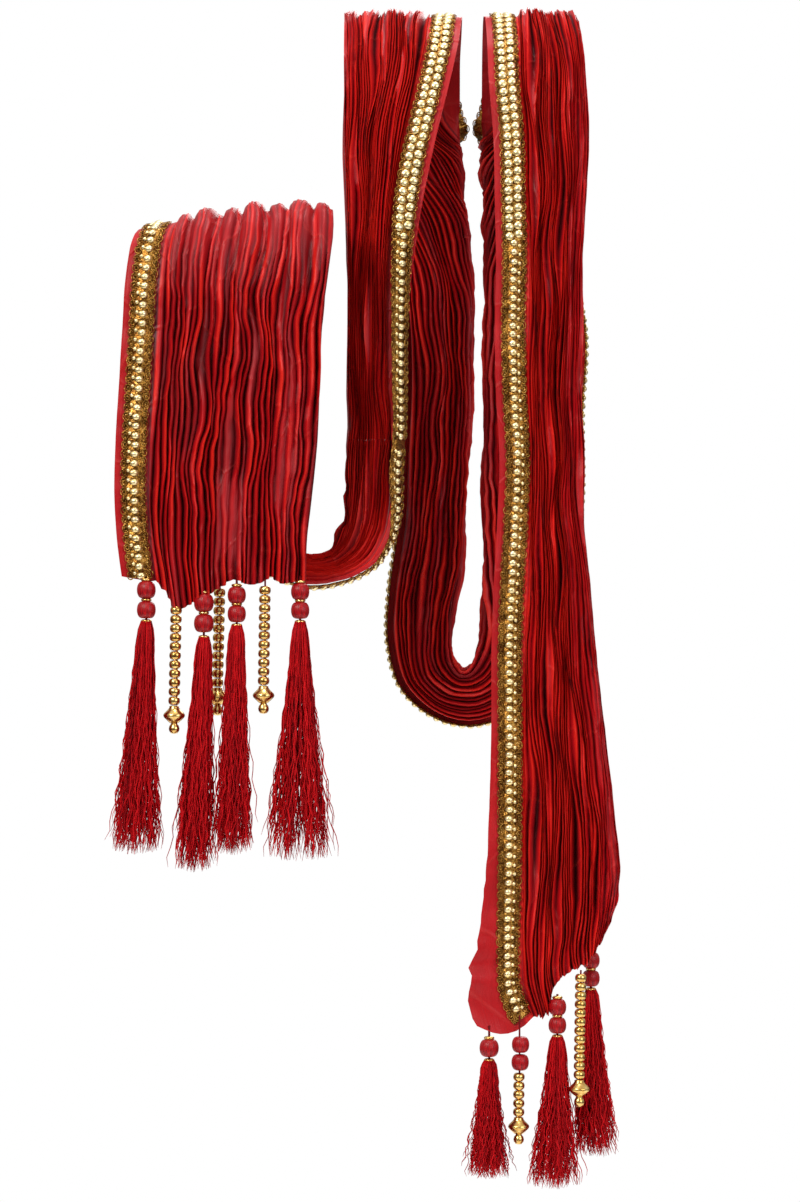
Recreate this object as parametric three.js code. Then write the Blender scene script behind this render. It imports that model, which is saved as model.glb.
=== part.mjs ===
// Dupatta stole: one long strip of pleated crimson organza with a gold trim along one edge, worn over both
// shoulders and one forearm, with tassels and gold bead drops sewn to its two ends.
//
// Millimetres. +X is the wearer's left, +Y the wearer's back, +Z up. The origin is the point at the base of
// the wearer's neck, midway between the two shoulder saddles, where the stole is held up.
//
// The strip is worked out from tables of sections. Each section runs from the trimmed edge (T) to the free
// edge (F). Its first stretch is the flat band that carries the trim, and the rest is pleats.

import * as THREE from "three";

// ---- Driving dimensions -------------------------------------------------------------------------------

const WALL = 1.5;                 // thickness of the cloth wall
const BAND = 29;                  // flat band beside the trimmed edge
const PLEATS = 9;                 // large pleats across the rest of the strip
const STEEPEST = 1.1;             // steepest side of a pleat, rise over run
const SEAM = 0.3;                 // gap between neighbouring pieces

const TRIM_WIDTH = 22.5;
const TRIM_THICK = 2;
const TRIM_INSET = 16.25;         // trim's centre line from the trimmed edge: 5 mm of selvedge shows
const TRIM_CLEAR = 2.4;           // trim's underside above the cloth wall
const HEM_SHORT = 3;              // trim's end above a hem
const ROLLED_CLEAR = 3;           // more of the same where the trim stands on the edge as it rolls round

const BACK_ROLL = 9;              // half the space between the two layers of the folded back swag
const FOLDED_BAND_STEPS = 4;      // steps across the flat band there, so that it can curl round the fold

const CORE_RADIUS = 1.2;          // thread bundle through the beads
const BEAD_SIDES = 8;
const SKIRT_SIDES = 8;
const RONDELLE_SIDES = 6;

// ---- Materials ----------------------------------------------------------------------------------------

const material = (color, roughness, metalness) =>
  new THREE.MeshStandardMaterial({ color, roughness, metalness });

const ORGANZA = material(0xa8101c, 0.55, 0);
const GOLD_TRIM = material(0xc79a3c, 0.35, 0.9);
const GOLD_BEAD = material(0xd4a044, 0.25, 1);
const SILK_BEAD = material(0xa01820, 0.45, 0);
const THREAD = material(0xa30f1e, 0.75, 0);

// ---- Section tables -----------------------------------------------------------------------------------

// Turns rows of numbers into objects with the named columns.
const table = (columns, rows) =>
  rows.map((row) => Object.fromEntries(columns.map((name, index) => [name, row[index]])));

// tx ty tz: trimmed edge. fx fy fz: free edge. depth: pleat depth. sag: drop at mid width.
// drift: how far the trim's centre line moves in from its usual inset.
const FLAT = ["tx", "ty", "tz", "fx", "fy", "fz", "depth", "sag", "drift"];

// Fall in front of the forearm, from its hem up and over the forearm to just behind it.
const ARM_FALL = table(FLAT, [
  [-302, -163, -501, -144, -163, -503, 7, 6, 0],
  [-306, -164, -470, -143, -163, -471, 8, 0, 0],
  [-308, -165, -436, -139, -163, -437, 8, 0, 0],
  [-307, -165, -386, -134, -163, -386, 8, 0, 0],
  [-304, -165, -335, -132, -163, -335, 8, 0, 0],
  [-301, -164, -284, -130, -163, -284, 8, 0, 0],
  [-299, -163, -250, -126, -163, -245, 8, 0, 0],
  [-295, -158, -221, -122, -157, -210, 8, -4, 0],
  [-291, -144, -207, -122, -144, -191, 7, -4, 0],
  [-289, -125, -202, -124, -125, -185, 7, -4, 0],
  [-289, -104, -208, -125, -104, -192, 7, -4, 0],
  [-292, -87, -232, -128, -87, -218, 7, 0, 0],
]);

// From behind the forearm down into the side swag and up to the fall from the right shoulder.
const SIDE_SWAG = table(FLAT, [
  [-292, -87, -232, -128, -87, -218, 7, 0, 0],
  [-288, -86, -286, -133, -84, -286, 7, 0, 0],
  [-270, -88, -365, -150, -78, -362, 7, 0, 0],
  [-240, -94, -435, -164, -68, -430, 7, 0, 0],
  [-196, -102, -487, -161, -62, -470, 6, 0, 0],
  [-152, -108, -507, -144, -60, -483, 6, 0, 0],
  [-113, -110, -505, -127, -62, -479, 6, 0, 0],
  [-89, -108, -491, -118, -66, -465, 6, 0, 0],
  [-75, -104, -470, -114, -70, -446, 6, 0, 0],
  [-68, -98, -443, -113, -74, -424, 6, 0, 0],
  [-66, -92, -413, -112, -78, -404, 6, 0, 0],
  [-62, -86, -382, -111, -82, -382, 6, 0, 0],
]);

// Front of the right shoulder's fall, over the shoulder saddle to just behind it.
const RIGHT_SHOULDER = table(FLAT, [
  [-62, -86, -382, -111, -82, -382, 6, 0, 0],
  [-60, -84, -329, -112, -82, -329, 6, 0, 0],
  [-58, -82, -277, -112, -82, -277, 6, 0, 0],
  [-53, -82, -224, -112, -82, -224, 7, 0, 0],
  [-45, -81, -172, -113, -81, -172, 7, 0, 0],
  [-34, -78, -119, -115, -78, -119, 7, 0, 0],
  [-21, -69, -65, -115, -69, -65, 7, 0, 0],
  [-13, -52, -27, -115, -52, -27, 7, 0, 0],
  [-10, -28, -5, -115, -28, -6, 6, 0, 0],
  [-9, 0, 2, -115, 0, 1, 6, 0, 0],
  [-9, 28, -7, -114, 28, -8, 6, 0, 0],
  [-10, 48, -30, -112, 48, -30, 6, 0, 0],
]);

// The back swag is folded lengthwise, its trimmed half turned away from the back over the free half.
// x y z: the fold. near: width of the trimmed half. far: width of the free half. turn: degrees of the fold.
// angle: direction from the fold to the two edges, in degrees in the XZ plane (180 is -X, 270 is down).
const FOLDED = ["x", "y", "z", "near", "far", "turn", "angle", "depth"];

const BACK_SWAG = table(FOLDED, [
  [-10, 48, -30, 0, 102, 0, 180, 6],
  [-10, 55, -50, 0, 102, 0, 180, 6],
  [-10, 60, -70, 0, 101, 0, 180, 6],
  [-10, 63, -88, 0, 100, 90, 180, 6],
  [-10, 65, -102, 9, 98, 150, 180, 6],
  [-9, 66, -118, 18, 94, 180, 180, 6],
  [-6, 67, -145, 32, 86, 180, 180, 6],
  [-3, 68, -173, 44, 76, 180, 180, 6],
  [1, 68, -246, 58, 60, 180, 180, 6],
  [0, 67, -320, 59, 55, 180, 180, 6],
  [-3, 66, -384, 60, 55, 180, 182, 6],
  [-6, 65, -448, 60, 55, 180, 184, 6],
  [-10, 64, -504, 65, 60, 180, 188, 6],
  [-17, 63, -545, 61, 56, 180, 196, 5],
  [-18, 63, -572, 55, 50, 180, 214, 5],
  [-10, 63, -586, 49, 44, 180, 246, 5],
  [0, 63, -584, 53, 48, 180, 290, 5],
  [7, 63, -564, 61, 56, 180, 324, 5],
  [12, 64, -531, 72, 60, 180, 345, 6],
  [12, 65, -485, 83, 60, 180, 358, 6],
  [12, 66, -430, 90, 60, 180, 360, 6],
  [13, 67, -357, 89, 60, 180, 360, 6],
  [14, 68, -265, 90, 62, 180, 360, 6],
  [13, 68, -173, 60, 70, 180, 360, 6],
  [12, 67, -145, 40, 74, 180, 360, 6],
  [11, 66, -118, 20, 78, 180, 360, 6],
  [10, 65, -102, 9, 80, 150, 360, 6],
  [10, 63, -88, 0, 82, 90, 360, 6],
  [10, 60, -70, 0, 83, 0, 360, 6],
  [10, 55, -50, 0, 84, 0, 360, 6],
  [10, 48, -30, 0, 84, 0, 360, 6],
]);

// Over the left shoulder saddle and down the upper half of the long front fall.
const LEFT_SHOULDER = table(FLAT, [
  [10, 48, -30, 94, 48, -30, 6, 0, 0],
  [10, 28, -7, 92, 28, -8, 6, 0, 0],
  [10, 0, 2, 90, 0, 1, 6, 0, 0],
  [11, -28, -5, 93, -28, -6, 6, 0, 0],
  [12, -52, -27, 96, -52, -27, 7, 0, 0],
  [13, -69, -65, 99, -69, -65, 7, 0, 0],
  [17, -78, -119, 101, -78, -119, 7, 0, 0],
  [18, -81, -172, 98, -81, -172, 7, 0, 0],
  [19, -82, -224, 95, -82, -224, 7, 0, 0],
  [18, -82, -277, 96, -82, -277, 7, 0, 0],
  [19, -82, -340, 94, -82, -340, 7, 0, 0],
  [22, -82, -400, 97, -82, -400, 7, 0, 0],
]);

// Lower half of the long front fall, to its slanting hem.
const FRONT_FALL = table(FLAT, [
  [22, -82, -400, 97, -82, -400, 7, 0, 0],
  [20, -82, -455, 96, -82, -455, 7, 0, 0],
  [17, -82, -510, 102, -82, -510, 7, 0, 0],
  [15, -82, -565, 107, -82, -565, 7, 0, 0],
  [15, -82, -620, 113, -82, -620, 7, 0, 0],
  [14, -82, -675, 119, -82, -672, 7, 0, 1],
  [12, -82, -730, 124, -80, -716, 7, 2, 3],
  [8, -83, -785, 128, -78, -752, 7, 6, 7],
  [0, -84, -835, 127, -76, -780, 7, 12, 16],
  [-5, -85, -872, 122, -74, -800, 7, 18, 26],
  [0, -85, -900, 117, -73, -812, 6, 22, 36],
]);

// The trim starts on the outer face behind the forearm, stands on the edge under the side swag and has rolled
// round to the front face by the right shoulder. It stands on the edge again all round the back swag.
const SIDE_SWAG_ROLL = [0, 0, 8, 22, 38, 33, 37, 50, 66, 92, 108, 119];
const RIGHT_SHOULDER_ROLL = [119, 126, 134, 147, 165, 180, 180, 180, 180, 180, 180, 180];
const FOLD_START_ROLL = [180, 160, 125, 95];
const BACK_SWAG_ROLL = BACK_SWAG.map((_, row) =>
  Math.max(FOLD_START_ROLL[row] ?? 90, FOLD_START_ROLL[BACK_SWAG.length - 1 - row] ?? 90));

// ---- Sections -----------------------------------------------------------------------------------------

const vector = (x, y, z) => new THREE.Vector3(x, y, z);

// How far a pleat line stands out of the section's middle line: ridges and valleys, and zero at both ends.
function pleatHeight(line, depth) {
  if (line <= 0 || line === 2 * PLEATS) return 0;
  return (line % 2 === 1 ? 0.5 : -0.5) * depth;
}

// The strip's line through a table: its trimmed edge, or its fold.
const spinePoint = (row) => ("angle" in row ? vector(row.x, row.y, row.z) : vector(row.tx, row.ty, row.tz));

// Direction of travel along the strip at each row. before and after are the rows of the stretches it joins.
function travels(rows, before, after) {
  const spine = [before ?? rows[0], ...rows, after ?? rows[rows.length - 1]].map(spinePoint);
  return rows.map((row, index) => spine[index + 2].clone().sub(spine[index]).normalize());
}

// A section holds its corners and the frame at its trimmed edge that the trim is placed by. A corner is
// { point, normal, rise }, where rise is the wall's half thickness along the normal.
// bandSteps: steps across the flat band.
// trimReach: how far in from the edge the trim's direction across is taken.
function makeSection(width, { depth, drift = 0 }, bandSteps, trimReach, place) {
  const band = Math.min(BAND, width * 0.55) + drift;
  const step = (width - band) / (2 * PLEATS);
  const kept = Math.min(depth, STEEPEST * step);
  const rise = 0.5 * WALL * Math.hypot(1, kept / step);
  const corners = [];
  for (let line = -bandSteps; line <= 2 * PLEATS; line += 1) {
    const { point, normal } = place(line < 0 ? band * (1 + line / bandSteps) : band + line * step);
    corners.push({ point: point.addScaledVector(normal, pleatHeight(line, kept)), normal, rise });
  }
  const edge = place(0);
  const across = place(trimReach).point.sub(edge.point).normalize();
  return { corners, trim: { ...edge, across, inset: TRIM_INSET + drift, rise } };
}

// Section of an unfolded row, across the direction of travel.
function flatSection(row, along) {
  const trimmed = vector(row.tx, row.ty, row.tz);
  const across = vector(row.fx, row.fy, row.fz).sub(trimmed);
  const width = across.length();
  const normal = across.clone().cross(along).normalize();
  return makeSection(width, row, 1, TRIM_INSET + row.drift, (distance) => {
    const share = distance / width;
    const point = trimmed.clone().addScaledVector(across, share);
    point.z -= 4 * row.sag * share * (1 - share);
    return { point, normal: normal.clone() };
  });
}

// Section of a folded row: along the trimmed half to the fold, round it, and out along the free half.
function foldedSection(row, along) {
  const radians = THREE.MathUtils.degToRad(row.angle);
  const out = vector(Math.cos(radians), 0, Math.sin(radians));
  const away = along.clone().cross(out).normalize();
  const turn = THREE.MathUtils.degToRad(row.turn);
  const roll = BACK_ROLL * (row.turn / 180);
  const nearRun = Math.max(row.near - roll, 0);
  const width = nearRun + turn * roll + row.far - roll;
  const fold = spinePoint(row).addScaledVector(out, roll);
  const mix = (outShare, awayShare) =>
    out.clone().multiplyScalar(outShare).addScaledVector(away, awayShare);
  return makeSection(width, row, FOLDED_BAND_STEPS, 1, (distance) => {
    const run = distance - nearRun;
    const angle = Math.PI - turn + THREE.MathUtils.clamp(run / Math.max(roll, 0.001), 0, turn);
    const normal = mix(-Math.sin(angle), Math.cos(angle));
    const straight = Math.min(run, 0) + Math.max(run - turn * roll, 0);
    const point = fold.clone().addScaledVector(normal, roll);
    return { point: point.addScaledVector(mix(-Math.cos(angle), -Math.sin(angle)), straight), normal };
  });
}

function makeSections(rows, before, after) {
  const section = "angle" in rows[0] ? foldedSection : flatSection;
  return travels(rows, before, after).map((along, index) => section(rows[index], along));
}

// Moves a stretch's end sections inwards, so that it clears the next stretch. The trim stops short of a hem.
function trimEnds(sections, trimGaps) {
  const pull = (end, next, trimGap) => {
    const move = (place, target, gap) =>
      place.point.addScaledVector(target.point.clone().sub(place.point).normalize(), gap);
    end.corners.forEach((corner, index) => move(corner, next.corners[index], SEAM));
    move(end.trim, next.trim, trimGap);
  };
  pull(sections[0], sections[1], trimGaps[0]);
  pull(sections[sections.length - 1], sections[sections.length - 2], trimGaps[1]);
}

// ---- Lofts --------------------------------------------------------------------------------------------

// Closed solid through rings of equally many corners, with strips of quads as its two end caps. Each ring
// goes out along one face and back along the other, and their quads are split along matching diagonals.
function loftRings(rings) {
  const size = rings[0].length;
  const positions = [];
  rings.forEach((ring) => ring.forEach((corner) => positions.push(corner.x, corner.y, corner.z)));
  const faces = [];
  for (let row = 0; row + 1 < rings.length; row += 1) {
    for (let side = 0; side < size; side += 1) {
      const here = row * size + side;
      const beside = row * size + ((side + 1) % size);
      if (side < size / 2) faces.push(here, beside, beside + size, here, beside + size, here + size);
      else faces.push(here, beside, here + size, beside, beside + size, here + size);
    }
  }
  const last = (rings.length - 1) * size;
  for (let side = 0; side + 1 < size / 2; side += 1) {
    const opposite = size - 1 - side;
    faces.push(side, opposite, opposite - 1, side, opposite - 1, side + 1);
    const [here, beside] = [last + side, last + opposite];
    faces.push(here, beside - 1, beside, here, here + 1, beside - 1);
  }
  const geometry = new THREE.BufferGeometry();
  geometry.setAttribute("position", new THREE.Float32BufferAttribute(positions, 3));
  geometry.setIndex(faces);
  if (signedVolume(geometry) < 0) faceOutwards(faces, geometry);
  geometry.computeVertexNormals();
  return geometry;
}

function signedVolume(geometry) {
  const position = geometry.getAttribute("position");
  const corner = (index) => vector().fromBufferAttribute(position, index);
  const index = geometry.getIndex().array;
  let volume = 0;
  for (let face = 0; face < index.length; face += 3) {
    const [a, b, c] = [corner(index[face]), corner(index[face + 1]), corner(index[face + 2])];
    volume += a.dot(b.cross(c)) / 6;
  }
  return volume;
}

function faceOutwards(faces, geometry) {
  for (let face = 0; face < faces.length; face += 3) {
    [faces[face + 1], faces[face + 2]] = [faces[face + 2], faces[face + 1]];
  }
  geometry.setIndex(faces);
}

// The cloth wall of a stretch: along the outer side of each section, and back along the inner side.
function clothGeometry(sections) {
  const side = (corner, sign) => corner.point.clone().addScaledVector(corner.normal, sign * corner.rise);
  const rings = sections.map(({ corners }) => {
    const outer = corners.map((corner) => side(corner, 1));
    const inner = corners.map((corner) => side(corner, -1)).reverse();
    return outer.concat(inner);
  });
  return loftRings(rings);
}

// The trim on a stretch. face is 1 where it lies on the side that the normals point to, or -1.
// roll gives, row by row, how far it has rolled round the cloth's edge in degrees.
function trimGeometry(sections, face, roll) {
  const rings = sections.map(({ trim }, index) => {
    const turn = THREE.MathUtils.degToRad(roll ? roll[index] : 0);
    const up = trim.normal.clone().multiplyScalar(face);
    const width = trim.across.clone().multiplyScalar(Math.cos(turn)).addScaledVector(up, Math.sin(turn));
    const outwards = up.multiplyScalar(Math.cos(turn)).addScaledVector(trim.across, -Math.sin(turn));
    const clear = TRIM_CLEAR + ROLLED_CLEAR * Math.sin(turn);
    const lift = trim.rise + clear + TRIM_THICK / 2;
    const centre = trim.point.clone().addScaledVector(width, trim.inset * Math.cos(turn));
    centre.addScaledVector(outwards, lift);
    const corner = (across, through) =>
      centre.clone()
        .addScaledVector(width, (across * TRIM_WIDTH) / 2)
        .addScaledVector(outwards, (through * TRIM_THICK) / 2);
    return [corner(-1, 1), corner(1, 1), corner(1, -1), corner(-1, -1)];
  });
  return loftRings(rings);
}

// ---- Tassels and bead drops ---------------------------------------------------------------------------

// x y: place under the hem. upper, lower: heights of the beads' centres. skirtTop, skirtEnd: its reach.
// lean: how far the skirt's bottom hangs to the side. spread: the skirt's radius near its bottom.
const TASSEL = ["name", "x", "y", "upper", "lower", "radius", "skirtTop", "skirtEnd", "lean", "spread"];
const ARM_TASSELS = table(TASSEL, [
  ["arm_tassel_1", -281, -163, -513.5, -530.5, 7.8, -541.5, -742, -10, 21],
  ["arm_tassel_2", -232, -163, -524.5, -542, 8.2, -555, -757, -9, 16],
  ["arm_tassel_3", -204, -163, -518, -534, 7.6, -545, -742, -4, 16],
  ["arm_tassel_4", -150, -163, -515, -531, 7.6, -542, -748, -1, 27],
]);
const FRONT_TASSELS = table(TASSEL, [
  ["front_tassel_1", 13, -85, null, -914, 8.2, -926, -1030, -2, 18],
  ["front_tassel_2", 73, -78, -879, -895, 7.6, -906, -1040, -4, 21],
  ["front_tassel_3", 104, -50, -841, -857, 7.6, -868, -1017, 4, 19],
]);

// x y: place under the hem. silk: heights of the silk beads. first: top of the gold rondelles.
const DROP = ["name", "x", "y", "silk", "first", "rondelles", "lean"];
const ARM_DROPS = table(DROP, [
  ["arm_drop_1", -253, -163, [], -527, 11, -4],
  ["arm_drop_2", -218, -147, [], -512, 11, -3],
  ["arm_drop_3", -179, -163, [], -510, 11, -2],
]);
const FRONT_DROPS = table(DROP, [
  ["front_drop_1", 41, -85, [-911, -926.5], -935.5, 5, -2],
  ["front_drop_2", 94, -84, [], -849, 12, -2],
]);

const RONDELLE_PITCH = 7.7;
const RONDELLE_RADIUS = 4.9;
const RONDELLE_NECK = 2.6;
const BICONE_RADIUS = 9.2;
const BICONE_HEIGHT = 15;
const THREAD_REACH = 5.5;         // half width of the hem that a ring hangs clear of
const RING_RADIUS = 5.2;
const RING_HEIGHT = 2.4;

// A lathe about a line that leans by lean over the drop from top to bottom; profile rows are [radius, z].
function lathe(profile, sides, x, y, top, lean, drop) {
  const points = profile.map(([radius, z]) => new THREE.Vector2(radius, z));
  const geometry = new THREE.LatheGeometry(points, sides);
  geometry.rotateX(Math.PI / 2);
  const position = geometry.getAttribute("position");
  for (let index = 0; index < position.count; index += 1) {
    const shift = (lean * (top - position.getZ(index))) / drop;
    position.setX(index, position.getX(index) + x + shift);
    position.setY(index, position.getY(index) + y);
  }
  geometry.computeVertexNormals();
  return geometry;
}

// A bored bead: a round outside and a straight hole that clears the thread.
function beadProfile(z, radius) {
  const hole = CORE_RADIUS + SEAM;
  const arc = [40, 65, 90, 115, 140].map((degrees) => {
    const angle = THREE.MathUtils.degToRad(degrees);
    return [radius * Math.sin(angle), z - radius * Math.cos(angle)];
  });
  const half = radius * Math.cos(THREE.MathUtils.degToRad(25));
  return [[hole, z - half], ...arc, [hole, z + half], [hole, z - half]];
}

// Gold rings on the thread between the beads, from the hem down to the head of the skirt.
function ringsProfile(tassel, beads, top) {
  const half = tassel.radius * Math.cos(THREE.MathUtils.degToRad(25)) + SEAM;
  const profile = [[0, tassel.skirtTop + SEAM]];
  const heads = [tassel.skirtTop + SEAM, ...beads.map((z) => z + half)];
  heads.forEach((start, index) => {
    const limit = index < beads.length ? beads[index] - half : top;
    const height = Math.min(RING_HEIGHT, limit - start);
    profile.push([RING_RADIUS, start], [RING_RADIUS, start + height], [CORE_RADIUS, start + height]);
    if (index < beads.length) profile.push([CORE_RADIUS, beads[index] + half]);
  });
  profile.push([CORE_RADIUS, top], [0, top]);
  return profile;
}

function skirtProfile(tassel) {
  const drop = tassel.skirtTop - tassel.skirtEnd;
  return [
    [0, tassel.skirtEnd],
    [tassel.spread * 0.7, tassel.skirtEnd],
    [tassel.spread, tassel.skirtEnd + drop * 0.12],
    [tassel.spread * 0.62, tassel.skirtEnd + drop * 0.55],
    [6.4, tassel.skirtTop - 12],
    [4.5, tassel.skirtTop],
    [0, tassel.skirtTop],
  ];
}

// Gold rondelles strung one under another.
function rondellesProfile(drop, top) {
  const profile = [[0, top], [CORE_RADIUS, top], [CORE_RADIUS, drop.first]];
  for (let bead = 0; bead < drop.rondelles; bead += 1) {
    const z = drop.first - bead * RONDELLE_PITCH;
    profile.push([RONDELLE_NECK, z], [RONDELLE_RADIUS, z - 0.28 * RONDELLE_PITCH]);
    profile.push([RONDELLE_RADIUS, z - 0.72 * RONDELLE_PITCH]);
  }
  const end = drop.first - drop.rondelles * RONDELLE_PITCH;
  profile.push([RONDELLE_NECK, end], [0, end]);
  return profile.reverse();
}

// The bicone and its round end bead.
function pendantProfile(top) {
  const tip = top - BICONE_HEIGHT;
  return [
    [0, tip - 9],
    [3.2, tip - 8],
    [4.4, tip - 4.5],
    [2.6, tip - 1],
    [4, tip],
    [BICONE_RADIUS, tip + 0.42 * BICONE_HEIGHT],
    [BICONE_RADIUS, tip + 0.58 * BICONE_HEIGHT],
    [4, top],
    [0, top],
  ];
}

// ---- Assembly -----------------------------------------------------------------------------------------

const stole = new THREE.Group();

function addPiece(name, geometry, finish) {
  const mesh = new THREE.Mesh(geometry, finish);
  mesh.name = name;
  stole.add(mesh);
}

function addStretch({ place, rows, face, roll }, index, stretches) {
  const [before, after] = [stretches[index - 1], stretches[index + 1]];
  const sections = makeSections(rows, before?.rows.at(-2), after?.rows[1]);
  trimEnds(sections, [before ? SEAM : HEM_SHORT, after ? SEAM : HEM_SHORT]);
  addPiece(`cloth_${place}`, clothGeometry(sections), ORGANZA);
  addPiece(`trim_${place}`, trimGeometry(sections, face, roll), GOLD_TRIM);
  return sections;
}

// Height of a hem at x, between the corners on either side.
function hemHeight(hem, x) {
  const next = Math.max(hem.findIndex((corner) => corner.point.x > x), 1);
  const [left, right] = [hem[next - 1].point, hem[next].point];
  return THREE.MathUtils.mapLinear(x, left.x, right.x, left.z, right.z);
}

// Top of a thread or ring at x: a seam gap under the lowest part of the hem that is over it.
function threadTop(hem, x) {
  const heights = [x - THREAD_REACH, x, x + THREAD_REACH].map((place) => hemHeight(hem, place));
  return Math.min(...heights) - SEAM;
}

function addTassel(tassel, hem) {
  const beads = [tassel.lower, tassel.upper].filter((z) => z !== null);
  const drop = tassel.skirtTop - tassel.skirtEnd;
  const spin = (profile, sides, lean) =>
    lathe(profile, sides, tassel.x, tassel.y, tassel.skirtTop, lean, drop);
  const rings = ringsProfile(tassel, beads, threadTop(hem, tassel.x));
  addPiece(`${tassel.name}_rings`, spin(rings, BEAD_SIDES, 0), GOLD_BEAD);
  beads.forEach((z, index) => {
    const level = index === 0 ? "lower" : "upper";
    addPiece(`${tassel.name}_bead_${level}`, spin(beadProfile(z, tassel.radius), BEAD_SIDES, 0), SILK_BEAD);
  });
  addPiece(`${tassel.name}_skirt`, spin(skirtProfile(tassel), SKIRT_SIDES, tassel.lean), THREAD);
}

function addDrop(drop, hem) {
  const top = threadTop(hem, drop.x);
  const end = drop.first - drop.rondelles * RONDELLE_PITCH;
  const spin = (profile, sides) => lathe(profile, sides, drop.x, drop.y, top, drop.lean, top - end);
  addPiece(`${drop.name}_rondelles`, spin(rondellesProfile(drop, top), RONDELLE_SIDES), GOLD_BEAD);
  addPiece(`${drop.name}_pendant`, spin(pendantProfile(end - SEAM), BEAD_SIDES), GOLD_BEAD);
  drop.silk.forEach((z, index) => {
    addPiece(`${drop.name}_bead_${index + 1}`, spin(beadProfile(z, 7.4), BEAD_SIDES), SILK_BEAD);
  });
}

// In order along the strip, from the arm's hem to the front fall's hem.
const STRETCHES = [
  { place: "arm_fall", rows: ARM_FALL, face: 1 },
  { place: "side_swag", rows: SIDE_SWAG, face: 1, roll: SIDE_SWAG_ROLL },
  { place: "right_shoulder", rows: RIGHT_SHOULDER, face: 1, roll: RIGHT_SHOULDER_ROLL },
  { place: "back_swag", rows: BACK_SWAG, face: 1, roll: BACK_SWAG_ROLL },
  { place: "left_shoulder", rows: LEFT_SHOULDER, face: -1 },
  { place: "front_fall", rows: FRONT_FALL, face: -1 },
];

const stretches = STRETCHES.map(addStretch);
const armHem = stretches[0][0].corners;
const frontHem = stretches.at(-1).at(-1).corners;
ARM_TASSELS.forEach((tassel) => addTassel(tassel, armHem));
ARM_DROPS.forEach((drop) => addDrop(drop, armHem));
FRONT_TASSELS.forEach((tassel) => addTassel(tassel, frontHem));
FRONT_DROPS.forEach((drop) => addDrop(drop, frontHem));

export default stole;
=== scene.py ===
"""Dupatta stole: looks for a long pleated organza stole with gold trim, silk tassels and gold bead drops.

The strip of cloth is worked out from the same table of sections as its construction, then pleated finely,
creased by listed folds and given its crinkle. Lengths in the tables are in millimetres.
"""

import math

import bpy
import numpy as np
from mathutils import Matrix, Vector


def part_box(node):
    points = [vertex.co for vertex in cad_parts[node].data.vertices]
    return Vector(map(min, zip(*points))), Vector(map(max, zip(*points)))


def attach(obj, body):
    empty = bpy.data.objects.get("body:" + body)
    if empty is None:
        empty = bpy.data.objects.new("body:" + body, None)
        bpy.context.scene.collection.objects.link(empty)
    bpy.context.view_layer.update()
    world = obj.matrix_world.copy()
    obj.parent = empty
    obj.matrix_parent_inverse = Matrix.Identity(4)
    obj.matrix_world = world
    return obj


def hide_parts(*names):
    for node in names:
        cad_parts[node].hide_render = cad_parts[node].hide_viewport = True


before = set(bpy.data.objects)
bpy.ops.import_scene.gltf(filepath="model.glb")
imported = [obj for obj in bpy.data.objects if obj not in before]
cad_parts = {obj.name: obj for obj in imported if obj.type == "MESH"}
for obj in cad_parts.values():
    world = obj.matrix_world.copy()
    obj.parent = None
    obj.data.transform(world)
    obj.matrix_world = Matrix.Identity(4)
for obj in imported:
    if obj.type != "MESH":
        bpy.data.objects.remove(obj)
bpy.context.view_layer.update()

bl_info = {
    "name": "Dupatta stole",
    "version": (1, 0, 0),
    "blender": (4, 5, 0),
    "location": "3D View > Sidebar > Stole",
    "description": "Builds a pleated organza stole with its trim, tassels, bead drops and studio",
    "category": "Add Mesh",
}

MM = 0.001
BODY = "root"

# ---- The strip: sections from the arm's hem to the front fall's hem -----------------------------------

# tx ty tz: trimmed edge. fx fy fz: free edge. depth: share of the full pleat depth. sag: drop at mid width.
# drift: how far the trim's centre line moves in. roll: degrees that the trim has rolled round the edge.
FLAT = ("tx", "ty", "tz", "fx", "fy", "fz", "depth", "sag", "drift", "roll")
# x y z: the fold of a stretch folded lengthwise. near, far: widths of its trimmed and free halves.
# turn: degrees of the fold. angle: direction from the fold to the two edges in the XZ plane.
FOLDED = ("x", "y", "z", "near", "far", "turn", "angle", "depth", "roll")

ARM_FALL = (
    (-302, -163, -501, -144, -163, -503, 0.9, 6, 0, 0),
    (-306, -164, -470, -143, -163, -471, 1.0, 0, 0, 0),
    (-308, -165, -436, -139, -163, -437, 1.0, 0, 0, 0),
    (-307, -165, -386, -134, -163, -386, 1.0, 0, 0, 0),
    (-304, -165, -335, -132, -163, -335, 1.0, 0, 0, 0),
    (-301, -164, -284, -130, -163, -284, 0.8, 0, 0, 0),
    (-299, -163, -250, -126, -163, -245, 0.55, 0, 0, 0),
    (-295, -158, -221, -122, -157, -210, 0.4, -4, 0, 0),
    (-291, -144, -207, -122, -144, -191, 0.35, -4, 0, 0),
    (-289, -125, -202, -124, -125, -185, 0.35, -4, 0, 0),
    (-289, -104, -208, -125, -104, -192, 0.45, -4, 0, 0),
    (-292, -87, -232, -128, -87, -218, 0.7, 0, 0, 0),
)
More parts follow.
